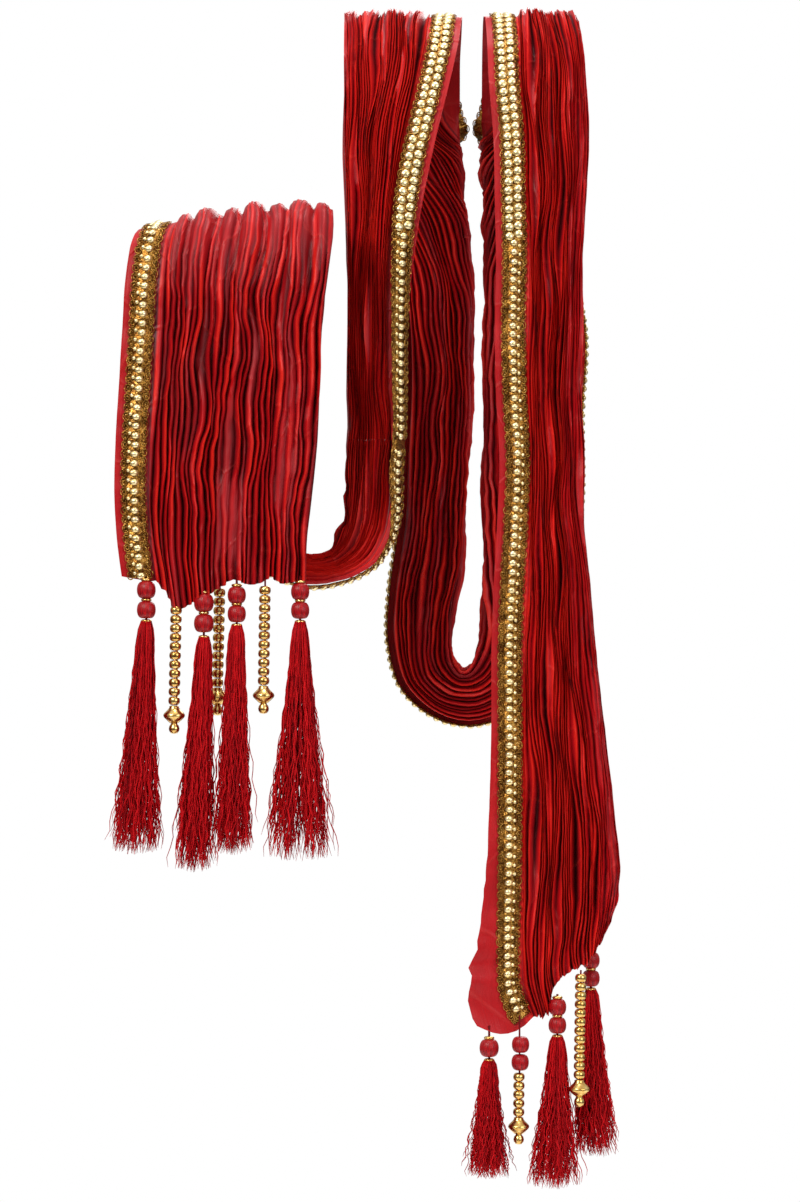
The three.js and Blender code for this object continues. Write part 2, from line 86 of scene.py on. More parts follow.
SIDE_SWAG = (
    (-292, -87, -232, -128, -87, -218, 0.7, 0, 0, 0),
    (-288, -86, -286, -133, -84, -286, 0.9, 0, 0, 0),
    (-270, -88, -365, -150, -78, -362, 1.0, 0, 0, 8),
    (-240, -94, -435, -164, -68, -430, 0.9, 0, 0, 22),
    (-196, -102, -487, -161, -62, -470, 0.8, 0, 0, 38),
    (-152, -108, -507, -144, -60, -483, 0.7, 0, 0, 33),
    (-113, -110, -505, -127, -62, -479, 0.7, 0, 0, 37),
    (-89, -108, -491, -118, -66, -465, 0.7, 0, 0, 50),
    (-75, -104, -470, -114, -70, -446, 0.7, 0, 0, 66),
    (-68, -98, -443, -113, -74, -424, 0.7, 0, 0, 92),
    (-66, -92, -413, -112, -78, -404, 0.7, 0, 0, 108),
    (-62, -86, -382, -111, -82, -382, 0.8, 0, 0, 119),
)
RIGHT_SHOULDER = (
    (-62, -86, -382, -111, -82, -382, 0.8, 0, 0, 119),
    (-60, -84, -329, -112, -82, -329, 0.8, 0, 0, 126),
    (-58, -82, -277, -112, -82, -277, 0.8, 0, 0, 134),
    (-53, -82, -224, -112, -82, -224, 0.8, 0, 0, 147),
    (-45, -81, -172, -113, -81, -172, 0.9, 0, 0, 165),
    (-34, -78, -119, -115, -78, -119, 0.9, 0, 0, 180),
    (-21, -69, -65, -115, -69, -65, 0.9, 0, 0, 180),
    (-13, -52, -27, -115, -52, -27, 0.8, 0, 0, 180),
    (-10, -28, -5, -115, -28, -6, 0.6, 0, 0, 180),
    (-9, 0, 2, -115, 0, 1, 0.6, 0, 0, 180),
    (-9, 28, -7, -114, 28, -8, 0.7, 0, 0, 180),
    (-10, 48, -30, -112, 48, -30, 0.8, 0, 0, 180),
)
BACK_SWAG = (
    (-10, 48, -30, 0, 102, 0, 180, 0.8, 180),
    (-10, 55, -50, 0, 102, 0, 180, 0.8, 160),
    (-10, 60, -70, 0, 101, 0, 180, 0.8, 125),
    (-10, 63, -88, 0, 100, 90, 180, 0.8, 95),
    (-10, 65, -102, 9, 98, 150, 180, 0.8, 90),
    (-9, 66, -118, 18, 94, 180, 180, 0.8, 90),
    (-6, 67, -145, 32, 86, 180, 180, 0.8, 90),
    (-3, 68, -173, 44, 76, 180, 180, 0.8, 90),
    (1, 68, -246, 58, 60, 180, 180, 0.8, 90),
    (0, 67, -320, 59, 55, 180, 180, 0.8, 90),
    (-3, 66, -384, 60, 55, 180, 182, 0.8, 90),
    (-6, 65, -448, 60, 55, 180, 184, 0.8, 90),
    (-10, 64, -504, 65, 60, 180, 188, 0.8, 90),
    (-17, 63, -545, 61, 56, 180, 196, 0.7, 90),
    (-18, 63, -572, 55, 50, 180, 214, 0.7, 90),
    (-10, 63, -586, 49, 44, 180, 246, 0.7, 90),
    (0, 63, -584, 53, 48, 180, 290, 0.7, 90),
    (7, 63, -564, 61, 56, 180, 324, 0.7, 90),
    (12, 64, -531, 72, 60, 180, 345, 0.8, 90),
    (12, 65, -485, 83, 60, 180, 358, 0.8, 90),
    (12, 66, -430, 90, 60, 180, 360, 0.8, 90),
    (13, 67, -357, 89, 60, 180, 360, 0.8, 90),
    (14, 68, -265, 90, 62, 180, 360, 0.8, 90),
    (13, 68, -173, 60, 70, 180, 360, 0.8, 90),
    (12, 67, -145, 40, 74, 180, 360, 0.8, 90),
    (11, 66, -118, 20, 78, 180, 360, 0.8, 90),
    (10, 65, -102, 9, 80, 150, 360, 0.8, 90),
    (10, 63, -88, 0, 82, 90, 360, 0.8, 95),
    (10, 60, -70, 0, 83, 0, 360, 0.8, 125),
    (10, 55, -50, 0, 84, 0, 360, 0.8, 160),
    (10, 48, -30, 0, 84, 0, 360, 0.8, 180),
)
LEFT_SHOULDER = (
    (10, 48, -30, 94, 48, -30, 0.8, 0, 0, 180),
    (10, 28, -7, 92, 28, -8, 0.7, 0, 0, 180),
    (10, 0, 2, 90, 0, 1, 0.6, 0, 0, 180),
    (11, -28, -5, 93, -28, -6, 0.6, 0, 0, 180),
    (12, -52, -27, 96, -52, -27, 0.8, 0, 0, 180),
    (13, -69, -65, 99, -69, -65, 0.9, 0, 0, 180),
    (17, -78, -119, 101, -78, -119, 0.9, 0, 0, 180),
    (18, -81, -172, 98, -81, -172, 0.9, 0, 0, 180),
    (19, -82, -224, 95, -82, -224, 0.9, 0, 0, 180),
    (18, -82, -277, 96, -82, -277, 0.9, 0, 0, 180),
    (19, -82, -340, 94, -82, -340, 0.9, 0, 0, 180),
    (22, -82, -400, 97, -82, -400, 0.9, 0, 0, 180),
)
FRONT_FALL = (
    (22, -82, -400, 97, -82, -400, 0.9, 0, 0, 180),
    (20, -82, -455, 96, -82, -455, 0.9, 0, 0, 180),
    (17, -82, -510, 102, -82, -510, 1.0, 0, 0, 180),
    (15, -82, -565, 107, -82, -565, 1.0, 0, 0, 180),
    (15, -82, -620, 113, -82, -620, 1.0, 0, 0, 180),
    (14, -82, -675, 119, -82, -672, 1.0, 0, 1, 180),
    (12, -82, -730, 124, -80, -716, 1.0, 2, 3, 180),
    (8, -83, -785, 128, -78, -752, 1.0, 6, 7, 180),
    (0, -84, -835, 127, -76, -780, 0.9, 12, 16, 180),
    (-5, -85, -872, 122, -74, -800, 0.8, 18, 26, 180),
    (0, -85, -900, 117, -73, -812, 0.7, 22, 36, 180),
)
STRETCHES = (
    ("arm_fall", FLAT, ARM_FALL),
    ("side_swag", FLAT, SIDE_SWAG),
    ("right_shoulder", FLAT, RIGHT_SHOULDER),
    ("back_swag", FOLDED, BACK_SWAG),
    ("left_shoulder", FLAT, LEFT_SHOULDER),
    ("front_fall", FLAT, FRONT_FALL),
)
STRETCH_NAMES = tuple(name for name, _, _ in STRETCHES)

BAND = 29                         # flat band beside the trimmed edge
BACK_ROLL = 9                     # radius of the back swag's lengthwise fold
TRIM_INSET = 16.25                # trim's centre line in from the trimmed edge
TRIM_LIFT = 1.3                   # trim's middle above the cloth
ROW_STEP = 6                      # along the strip between two rows of points
BAND_COLUMNS = 7                  # columns of points across the flat band
PLEAT_PHASES = 5                  # columns of points across one pleat
BAND_TONE = 0.66                  # tone of the flat band, between a valley's painted shade at 0 and a ridge's painted highlight at 1
SEAM = 0.02                       # gap where one stretch meets the next

# Broad folds, as soft ridges. start, end: shares of the stretch, counted from the arm's hem,
# that may reach into its neighbours. across0, across1: place across the pleats at start and end.
# width0, width1 and height: millimetres.
FOLD = ("stretch", "start", "end", "across0", "across1", "width0", "width1", "height")
BROAD_FOLDS = (
    ("arm_fall", 0.40, 1.30, 0.09, 0.07, 4, 16, 7),
    ("arm_fall", 0.30, 1.40, 0.21, 0.22, 5, 27, 11),
    ("arm_fall", 0.42, 1.35, 0.37, 0.38, 4, 18, 8),
    ("arm_fall", 0.22, 1.45, 0.50, 0.53, 6, 24, 12),
    ("arm_fall", 0.44, 1.30, 0.65, 0.68, 5, 20, 8),
    ("arm_fall", 0.12, 1.40, 0.80, 0.81, 8, 22, 10),
    ("arm_fall", 0.36, 1.30, 0.94, 0.94, 5, 13, 7),
    ("arm_fall", -0.30, 0.50, 0.15, 0.16, 16, 6, 4),
    ("arm_fall", -0.30, 0.62, 0.31, 0.30, 14, 5, 5),
    ("arm_fall", -0.30, 0.45, 0.62, 0.60, 22, 6, 5),
    ("arm_fall", -0.30, 0.55, 0.88, 0.88, 18, 7, 5),
    ("right_shoulder", 0.10, 1.10, 0.10, 0.20, 5, 16, -6),
    ("right_shoulder", 0.25, 1.05, 0.34, 0.46, 5, 20, -8),
    ("right_shoulder", 0.30, 1.05, 0.62, 0.72, 5, 16, -7),
    ("right_shoulder", -0.30, 1.10, 0.88, 0.93, 7, 13, -7),
    ("left_shoulder", -0.10, 0.70, 0.12, 0.10, 14, 4, -6),
    ("left_shoulder", -0.10, 0.85, 0.36, 0.32, 18, 5, -8),
    ("left_shoulder", -0.10, 1.50, 0.64, 0.66, 12, 8, -6),
    ("left_shoulder", -0.10, 1.60, 0.88, 0.90, 15, 11, -8),
    ("back_swag", 0.02, 0.45, 0.30, 0.36, 12, 8, -5),
    ("back_swag", 0.02, 0.55, 0.70, 0.66, 14, 10, -6),
    ("back_swag", 0.48, 0.98, 0.34, 0.40, 9, 12, -5),
    ("back_swag", 0.46, 0.98, 0.72, 0.74, 10, 14, -6),
    ("front_fall", 0.10, 1.30, 0.86, 0.84, 10, 22, -7),
    ("front_fall", 0.35, 1.30, 0.66, 0.60, 8, 16, -6),
    ("front_fall", 0.60, 1.30, 0.10, 0.10, 5, 14, -5),
)

# Places where the pleats lie flatter. keep: share of the depth that is left there.
CALM = ("stretch", "start", "end", "across0", "across1", "keep")
CALM_PLACES = (
    ("arm_fall", 0.62, 1.25, 0.0, 1.0, 0.35),
    ("arm_fall", 0.06, 0.55, 0.78, 0.90, 0.35),
    ("arm_fall", 0.02, 0.24, 0.42, 0.60, 0.35),
    ("left_shoulder", 0.05, 1.60, 0.66, 1.0, 0.45),
    ("front_fall", 0.35, 1.20, 0.76, 1.0, 0.40),
    ("right_shoulder", 0.62, 1.02, 0.84, 1.0, 0.50),
)

CALM_FADE = 0.08                  # share of the width over which a calm place fades out

# How much lower each hem hangs than its straight line, across the pleats.
ARM_HEM = ((0.0, 2), (0.05, 8), (0.11, 22), (0.17, 24), (0.24, 15), (0.33, 14), (0.42, 6), (0.52, -3),
           (0.64, 2), (0.76, -2), (0.88, 3), (1.0, 2))
FRONT_HEM = ((0.0, 4), (0.1, 10), (0.2, 12), (0.3, -4), (0.42, -10), (0.55, -4), (0.7, 4), (0.85, 2),
             (1.0, -2))
# The same across the flat band, from its trimmed edge to the pleats.
FRONT_BAND_HEM = ((0.0, -4), (0.25, 2), (0.5, 7), (0.8, 9), (1.0, 4))
ARM_BAND_HEM = ((0.0, 1), (1.0, 2))
HEM_REACH = 60                    # how far above its hem the cloth is drawn down with it


def smooth_along(knots, values, places):
    """Smooth curve through rows of values at uneven knots, read at the given places."""
    slopes = np.gradient(values, knots, axis=0)
    left = np.clip(np.searchsorted(knots, places, side="right") - 1, 0, len(knots) - 2)
    gap = knots[left + 1] - knots[left]
    share = (places - knots[left]) / gap
    shape = (-1,) + (1,) * (values.ndim - 1)
    gap, share = gap.reshape(shape), share.reshape(shape)
    square, cube = share**2, share**3
    return (
        (2 * cube - 3 * square + 1) * values[left]
        + (cube - 2 * square + share) * gap * slopes[left]
        + (3 * square - 2 * cube) * values[left + 1]
        + (cube - square) * gap * slopes[left + 1]
    )


def unit(vectors):
    return vectors / np.linalg.norm(vectors, axis=-1, keepdims=True)


def ripple(across, along, seed, across_scale, along_scale, terms=7):
    """Soft unevenness between about -1 and 1 over the cloth, the same on every run."""
    draw = np.random.default_rng(seed)
    total = np.zeros(np.broadcast(across, along).shape)
    for _ in range(terms):
        pace_across = draw.uniform(-1.0, 1.0) / across_scale
        pace_along = draw.uniform(0.5, 1.5) * draw.choice([-1, 1]) / along_scale
        start = draw.uniform(0, 2 * math.pi)
        total += np.sin(2 * math.pi * (across * pace_across + along * pace_along) + start)
    return total / math.sqrt(terms * 1.2)


def strip_rows():
    """All rows of the strip as dictionaries, each with the place of its spine and its two widths."""
    rows = []
    for number, (name, columns, table) in enumerate(STRETCHES):
        for position, values in enumerate(table):
            if number and not position:
                continue
            row = dict(zip(columns, values))
            if columns is FLAT:
                spine = np.array([row["tx"], row["ty"], row["tz"]], float)
                out = np.array([row["fx"], row["fy"], row["fz"]], float) - spine
                row.update(spine=spine, out=unit(out), near=0.0, far=float(np.linalg.norm(out)), turn=0)
            else:
                angle = math.radians(row["angle"])
                row.update(spine=np.array([row["x"], row["y"], row["z"]], float))
                row.update(out=np.array([math.cos(angle), 0, math.sin(angle)]), sag=0, drift=0)
            row["stretch"] = number
            rows.append(row)
    return rows


class Strip:
    """The whole strip as a grid of points: one row for each step along it, one column for each pleat line."""

    def __init__(self, pleats, pleat_depth):
        rows = strip_rows()
        column = lambda key: np.array([row[key] for row in rows], float)
        spine, out = column("spine"), column("out")
        middle = spine + out * (0.5 * np.maximum(column("near"), column("far")))[:, None]
        knots = np.concatenate([[0], np.cumsum(np.linalg.norm(np.diff(middle, axis=0), axis=1))])
        self.knots = knots
        self.bounds = self.stretch_bounds(rows, knots)
        self.along = self.row_places()
        read = lambda values: smooth_along(knots, values, self.along)
        self.spine, self.out = read(spine), unit(read(out))
        travel = unit(np.gradient(read(middle), self.along, axis=0))
        self.away = unit(np.cross(travel, self.out))
        self.near, self.far = np.maximum(read(column("near")), 0), read(column("far"))
        self.turn = np.radians(np.clip(read(column("turn")), 0, 180))
        self.depth, self.sag = read(column("depth")), read(column("sag"))
        self.drift = np.maximum(read(column("drift")), 0)
        self.roll = np.clip(read(column("roll")), 0, 180)
        self.set_columns(pleats)
        self.lay_out(pleats, pleat_depth)

    def stretch_bounds(self, rows, knots):
        """Start and end of each stretch along the strip."""
        bounds = []
        start = 0.0
        for number in range(len(STRETCHES)):
            end = knots[max(index for index, row in enumerate(rows) if row["stretch"] == number)]
            bounds.append((start, end))
            start = end
        return bounds

    def row_places(self):
        """Places of the rows, with two rows a seam's gap apart where one stretch meets the next."""
        places = []
        for start, end in self.bounds:
            steps = max(int(round((end - start) / ROW_STEP)), 2)
            places.extend(np.linspace(start + SEAM / 2, end - SEAM / 2, steps + 1))
        return np.array(places)

    def rows_of(self, number):
        start, end = self.bounds[number]
        inside = (self.along > start) & (self.along < end)
        return np.nonzero(inside)[0]

    def set_columns(self, pleats):
        """Phase within its pleat and place across the cloth of every column, PLEAT_PHASES to a pleat."""
        phases = np.arange(PLEAT_PHASES) / PLEAT_PHASES
        self.phase = np.append(np.tile(phases, pleats), 0.0)
        self.pleat = np.append(np.repeat((np.arange(pleats) + 0.5) / pleats, PLEAT_PHASES), 1.0)
        self.across = np.append((np.arange(pleats)[:, None] + phases).reshape(-1) / pleats, 1.0)

    def crowd(self, pleats, room):
        """Place across the cloth of every column in every row: where there is little room, most of the pleats
        close up and a few stay open."""
        middles = ((np.arange(pleats) + 0.5) / pleats)[None, :]
        uneven = ripple(middles, self.along[:, None], 12, 0.045, 420) + 0.5 * ripple(
            middles, self.along[:, None], 13, 0.11, 260
        )
        contrast = 0.35 + 1.1 * np.clip(1 - room / 120, 0, 1)
        widths = np.exp(np.clip(uneven, -2, 2) * contrast[:, None])
        edges = np.concatenate([np.zeros((len(room), 1)), np.cumsum(widths, axis=1)], axis=1)
        edges /= edges[:, -1:]
        steps = (self.across * pleats).round(6)
        return np.stack([np.interp(steps, np.arange(pleats + 1), row) for row in edges])

    def section(self, distance):
        """Points, normals and directions across, at distances from the trimmed edge of every row."""
        turn, roll = self.turn[:, None], self.fold_roll[:, None]
        run = distance - np.maximum(self.near[:, None] - roll, 0)
        angle = math.pi - turn + np.clip(run / np.maximum(roll, 1e-3), 0, turn)
        straight = np.minimum(run, 0) + np.maximum(run - turn * roll, 0)
        mix = lambda a, b: self.out[:, None] * a[..., None] + self.away[:, None] * b[..., None]
        normal, across = mix(-np.sin(angle), np.cos(angle)), mix(-np.cos(angle), -np.sin(angle))
        fold = self.spine[:, None] + self.out[:, None] * roll[..., None]
        return fold + normal * roll[..., None] + across * straight[..., None], normal, across

    def band_share(self):
        """Share of its full width that the flat band keeps: little where the trim stands on the edge."""
        swag = (self.along > self.bounds[1][0] + 150) & (self.along < self.bounds[1][1])
        share = np.where(swag, 0.2, np.maximum(np.abs(np.cos(np.radians(self.roll))), 0.2))
        kernel = np.ones(15) / 15
        return np.convolve(np.pad(share, 7, mode="edge"), kernel, mode="valid")

    def lay_out(self, pleats, pleat_depth):
        self.fold_roll = roll = BACK_ROLL * self.turn / math.pi
        width = np.maximum(self.near - roll, 0) + self.turn * roll + self.far - roll
        band = np.minimum(BAND, 0.55 * width) * self.band_share() + self.drift
        self.width, self.band = width, band
        in_band = np.linspace(0, 1, BAND_COLUMNS + 1)[None, :-1] * band[:, None]
        across, along = self.across[None, :], self.along[:, None]
        wander = 0.012 * ripple(self.pleat[None, :], along, 21, 0.35, 120)
        wander += 0.0035 * ripple(self.pleat[None, :], along, 22, 0.10, 34)
        ease = np.clip(np.minimum(across, 1 - across) / 0.08, 0, 1)
        placed = np.clip(self.crowd(pleats, width - band) + wander * ease, 0, 1)
        self.placed = placed
        in_pleats = band[:, None] + placed * (width - band)[:, None]
        distance = np.concatenate([in_band, in_pleats], axis=1)
        points, normals, across_dir = self.section(distance)
        share = distance / width[:, None]
        points[..., 2] -= 4 * self.sag[:, None] * share * (1 - share)
        ridge = self.pleat_shape(across, along)
        calm = self.calm()
        rise = (ridge - 0.5) * pleat_depth * self.depth[:, None] * calm
        lean = 0.35 * rise
        lift = rise + self.broad_folds()
        lift += 0.5 * ripple(across, along, 31, 0.12, 18)
        soft_edge = np.clip(across / 0.03, 0, 1)
        points[:, BAND_COLUMNS:] += normals[:, BAND_COLUMNS:] * (lift * soft_edge)[..., None]
        points[:, BAND_COLUMNS:] += across_dir[:, BAND_COLUMNS:] * (lean * soft_edge)[..., None]
        band_wave = 0.9 * ripple(0.0, along, 41, 1.0, 70) + 0.35 * ripple(0.0, along, 42, 1.0, 24)
        fade = np.concatenate([np.ones(BAND_COLUMNS), np.clip(1 - across[0] / 0.1, 0, 1)])
        points += normals * (band_wave * fade[None, :])[..., None]
        self.crinkle_flare(points, normals, across_dir, distance)
        self.free_edge_ruffle(points, normals)
        self.shape_hems(points)
        self.points, self.normals = points, normals
        inset = TRIM_INSET + self.drift
        edge, self.trim_up, self.trim_across = (values[:, 0] for values in self.section(width[:, None] * 0))
        turned_in = np.abs(np.cos(np.radians(self.roll)))
        share = inset / width
        self.trim_edge = edge + self.trim_up * band_wave
        self.trim_edge[:, 2] -= 4 * self.sag * share * (1 - share) * turned_in
        # Painted shade and highlight: the pleat's height is kept as a tone, dark in the valleys and light on
        # the ridges, with less of both where the pleats lie flatter and a middle tone on the flat band.
        pad = np.full((len(self.along), BAND_COLUMNS), BAND_TONE)
        self.ridge = np.concatenate([pad, 0.6 + (ridge - 0.6) * np.clip(0.25 + calm, 0, 1)], axis=1)
        # Where the painted see-through shade goes, none of it on the flat band.
        self.see_through_shade = np.concatenate([pad * 0, self.see_through_shade_streaks()], axis=1)

    def pleat_shape(self, across, along):
        """Height of each pleat line from 0 in a valley to 1 on a ridge, every pleat rising and dying away."""
        crease = np.interp(self.phase, (0, 0.2, 0.4, 0.8, 1), (0, 1, 0.9, 0.3, 0))
        strength = 0.8 + 0.34 * ripple(self.pleat[None, :], along, 51, 0.05, 200)
        return crease[None, :] * np.clip(strength, 0.15, 1.15)

    def shares(self, place):
        """How far along a place every row is, from 0 at its start to 1 at its end."""
        start, end = self.bounds[STRETCH_NAMES.index(place["stretch"])]
        at = (self.along - start) / (end - start)
        return (at - place["start"]) / (place["end"] - place["start"])

    def calm(self):
        keep = np.ones((len(self.along), len(self.across)))
        for values in CALM_PLACES:
            place = dict(zip(CALM, values))
            share = self.shares(place)
            lengthwise = np.clip(share / 0.2, 0, 1) * np.clip((1 - share) / 0.2, 0, 1)
            low = high = np.ones(len(self.across))
            if place["across0"] > 0:
                low = np.clip((self.across - place["across0"]) / CALM_FADE + 0.5, 0, 1)
            if place["across1"] < 1:
                high = np.clip((place["across1"] - self.across) / CALM_FADE + 0.5, 0, 1)
            keep *= 1 - (1 - place["keep"]) * lengthwise[:, None] * (low * high)[None, :]
        return keep

    def broad_folds(self):
        lift = np.zeros((len(self.along), len(self.across)))
        for values in BROAD_FOLDS:
            fold = dict(zip(FOLD, values))
            share = self.shares(fold)
            inside = np.sin(np.clip(share, 0, 1) * math.pi) ** 0.6
            reach = np.clip(share, 0, 1)
            centre = fold["across0"] + (fold["across1"] - fold["across0"]) * reach
            wide = fold["width0"] + (fold["width1"] - fold["width0"]) * reach
            off = (self.placed - centre[:, None]) * (self.width - self.band)[:, None]
            swell = np.sqrt(np.clip(1 - (off / (0.62 * wide[:, None])) ** 2, 0, 1))
            lift += fold["height"] * swell * (inside * (0.35 + 0.65 * wide / wide.max()))[:, None]
        return lift

    def crinkle_flare(self, points, normals, across_dir, distance):
        """Crushed folds where the flat band widens past the trim, deepest at its open edge."""
        band, along = slice(0, BAND_COLUMNS), self.along[:, None]
        off = distance[:, band]
        flare = np.clip(self.drift / 16, 0, 1)[:, None] * np.clip(1.15 - off / 30, 0, 1)
        ruffle = 3.0 * ripple(0.0, along, 43, 1.0, 30) + 1.8 * ripple(0.0, along, 44, 1.0, 13)
        crushed = 2.6 * ripple(off, along, 45, 13, 44) + 1.3 * ripple(off, along, 46, 7, 21)
        points[:, band] += normals[:, band] * (flare * (ruffle + crushed))[..., None]
        points[:, band] -= across_dir[:, band] * (0.6 * flare * ruffle)[..., None]

    def free_edge_ruffle(self, points, normals):
        near_edge = np.clip((self.across - 0.86) / 0.14, 0, 1) ** 1.5
        wave = 2.6 * ripple(0.0, self.along, 61, 1.0, 46) + 1.0 * ripple(0.0, self.along, 62, 1.0, 19)
        points[:, BAND_COLUMNS:] += (
            normals[:, BAND_COLUMNS:] * (wave[:, None] * near_edge[None, :])[..., None]
        )

    def shape_hems(self, points):
        in_band = np.arange(BAND_COLUMNS) / BAND_COLUMNS
        for number, table, band_table, outward in (
            (0, ARM_HEM, ARM_BAND_HEM, 0), (len(STRETCHES) - 1, FRONT_HEM, FRONT_BAND_HEM, -1)
        ):
            places, drops = np.array(table, float).T
            rows = self.rows_of(number)
            end = self.along[rows[outward]]
            pull = np.clip(1 - np.abs(self.along[rows] - end) / HEM_REACH, 0, 1) ** 2
            uneven = 1.6 * ripple(self.across, 0.0, 71 + number, 0.09, 1)
            drop = np.interp(self.across, places, drops) + uneven
            drop = np.append(np.interp(in_band, *np.array(band_table, float).T), drop)
            points[rows, :, 2] -= pull[:, None] * drop[None, :]

    def see_through_shade_streaks(self):
        """Painted see-through shade: single layers between pleats, where the dark, shaded inside is painted
        as showing through.
        """
        along, across = self.along[:, None], self.pleat[None, :]
        streak = ripple(across, along, 81, 0.045, 420)
        patch = ripple(across, along, 82, 0.5, 260)
        lower = np.clip((self.bounds[0][1] - 110 - self.along) / 60, 0, 1)[:, None]
        shown = np.clip((streak + 0.5 * patch - 1.0) / 0.5, 0, 1)
        between = (1 - np.abs(2 * self.phase - 1))[None, :] ** 0.5
        return (0.25 + 0.75 * lower) * shown * between

    def length(self, number):
        rows = self.rows_of(number)
        middle = self.points[rows].mean(axis=1)
        return float(np.linalg.norm(np.diff(middle, axis=0), axis=1).sum()) * MM


# ---- Mesh helpers -------------------------------------------------------------------------------------


def mesh_piece(name, vertices, faces, material):
    """A new object from vertices in metres and faces, shaded smooth."""
    mesh = bpy.data.meshes.new(name)
    mesh.from_pydata(vertices, [], faces)
    mesh.validate()
    mesh.shade_smooth()
    mesh.materials.append(material)
    piece = bpy.data.objects.new(name, mesh)
    bpy.context.scene.collection.objects.link(piece)
    return piece


def only(piece):
    """Selects one piece and makes it active."""
    bpy.ops.object.select_all(action="DESELECT")
    piece.select_set(True)
    bpy.context.view_layer.objects.active = piece


def apply_modifier(piece, kind, **settings):
    modifier = piece.modifiers.new(kind.title(), kind)
    for key, value in settings.items():
        setattr(modifier, key, value)
    only(piece)
    bpy.ops.object.modifier_apply(modifier=modifier.name)


def finish_piece(piece, slot, *nodes):
    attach(piece, BODY)
    if nodes:
        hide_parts(*nodes)


def node_centre(name):
    low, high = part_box(name)
    return (Vector(low) + Vector(high)) / 2


def node_size(name):
    low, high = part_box(name)
    return Vector(high) - Vector(low)


# ---- Materials ----------------------------------------------------------------------------------------


def linear(colour):
    """Linear RGBA from an sRGB hex value such as "#a81420"."""
    parts = [int(colour[start:start + 2], 16) / 255 for start in (1, 3, 5)]
    return tuple(c / 12.92 if c <= 0.04045 else ((c + 0.055) / 1.055) ** 2.4 for c in parts) + (1.0,)


def add_node(tree, kind, inputs=None, stops=(), **settings):
    """Adds a node with its settings. An input is a value, or the output socket that it is linked to."""
    made = tree.nodes.new(kind)
    for key, value in settings.items():
        setattr(made, key, value)
    for key, value in (inputs or {}).items():
        if isinstance(value, bpy.types.NodeSocket):
            tree.links.new(value, made.inputs[key])
        else:
            made.inputs[key].default_value = value
    for position, (place, colour) in enumerate(stops):
        elements = made.color_ramp.elements
        element = elements[position] if position < 2 else elements.new(place)
        element.position, element.color = place, linear(colour)
    return made


def new_material(name):
    material = bpy.data.materials.new(name)
    material.use_nodes = True
    tree = material.node_tree
    return material, tree, tree.nodes["Principled BSDF"]


def set_shader(shader, **values):
    for key, value in values.items():
        shader.inputs[key.replace("_", " ")].default_value = value


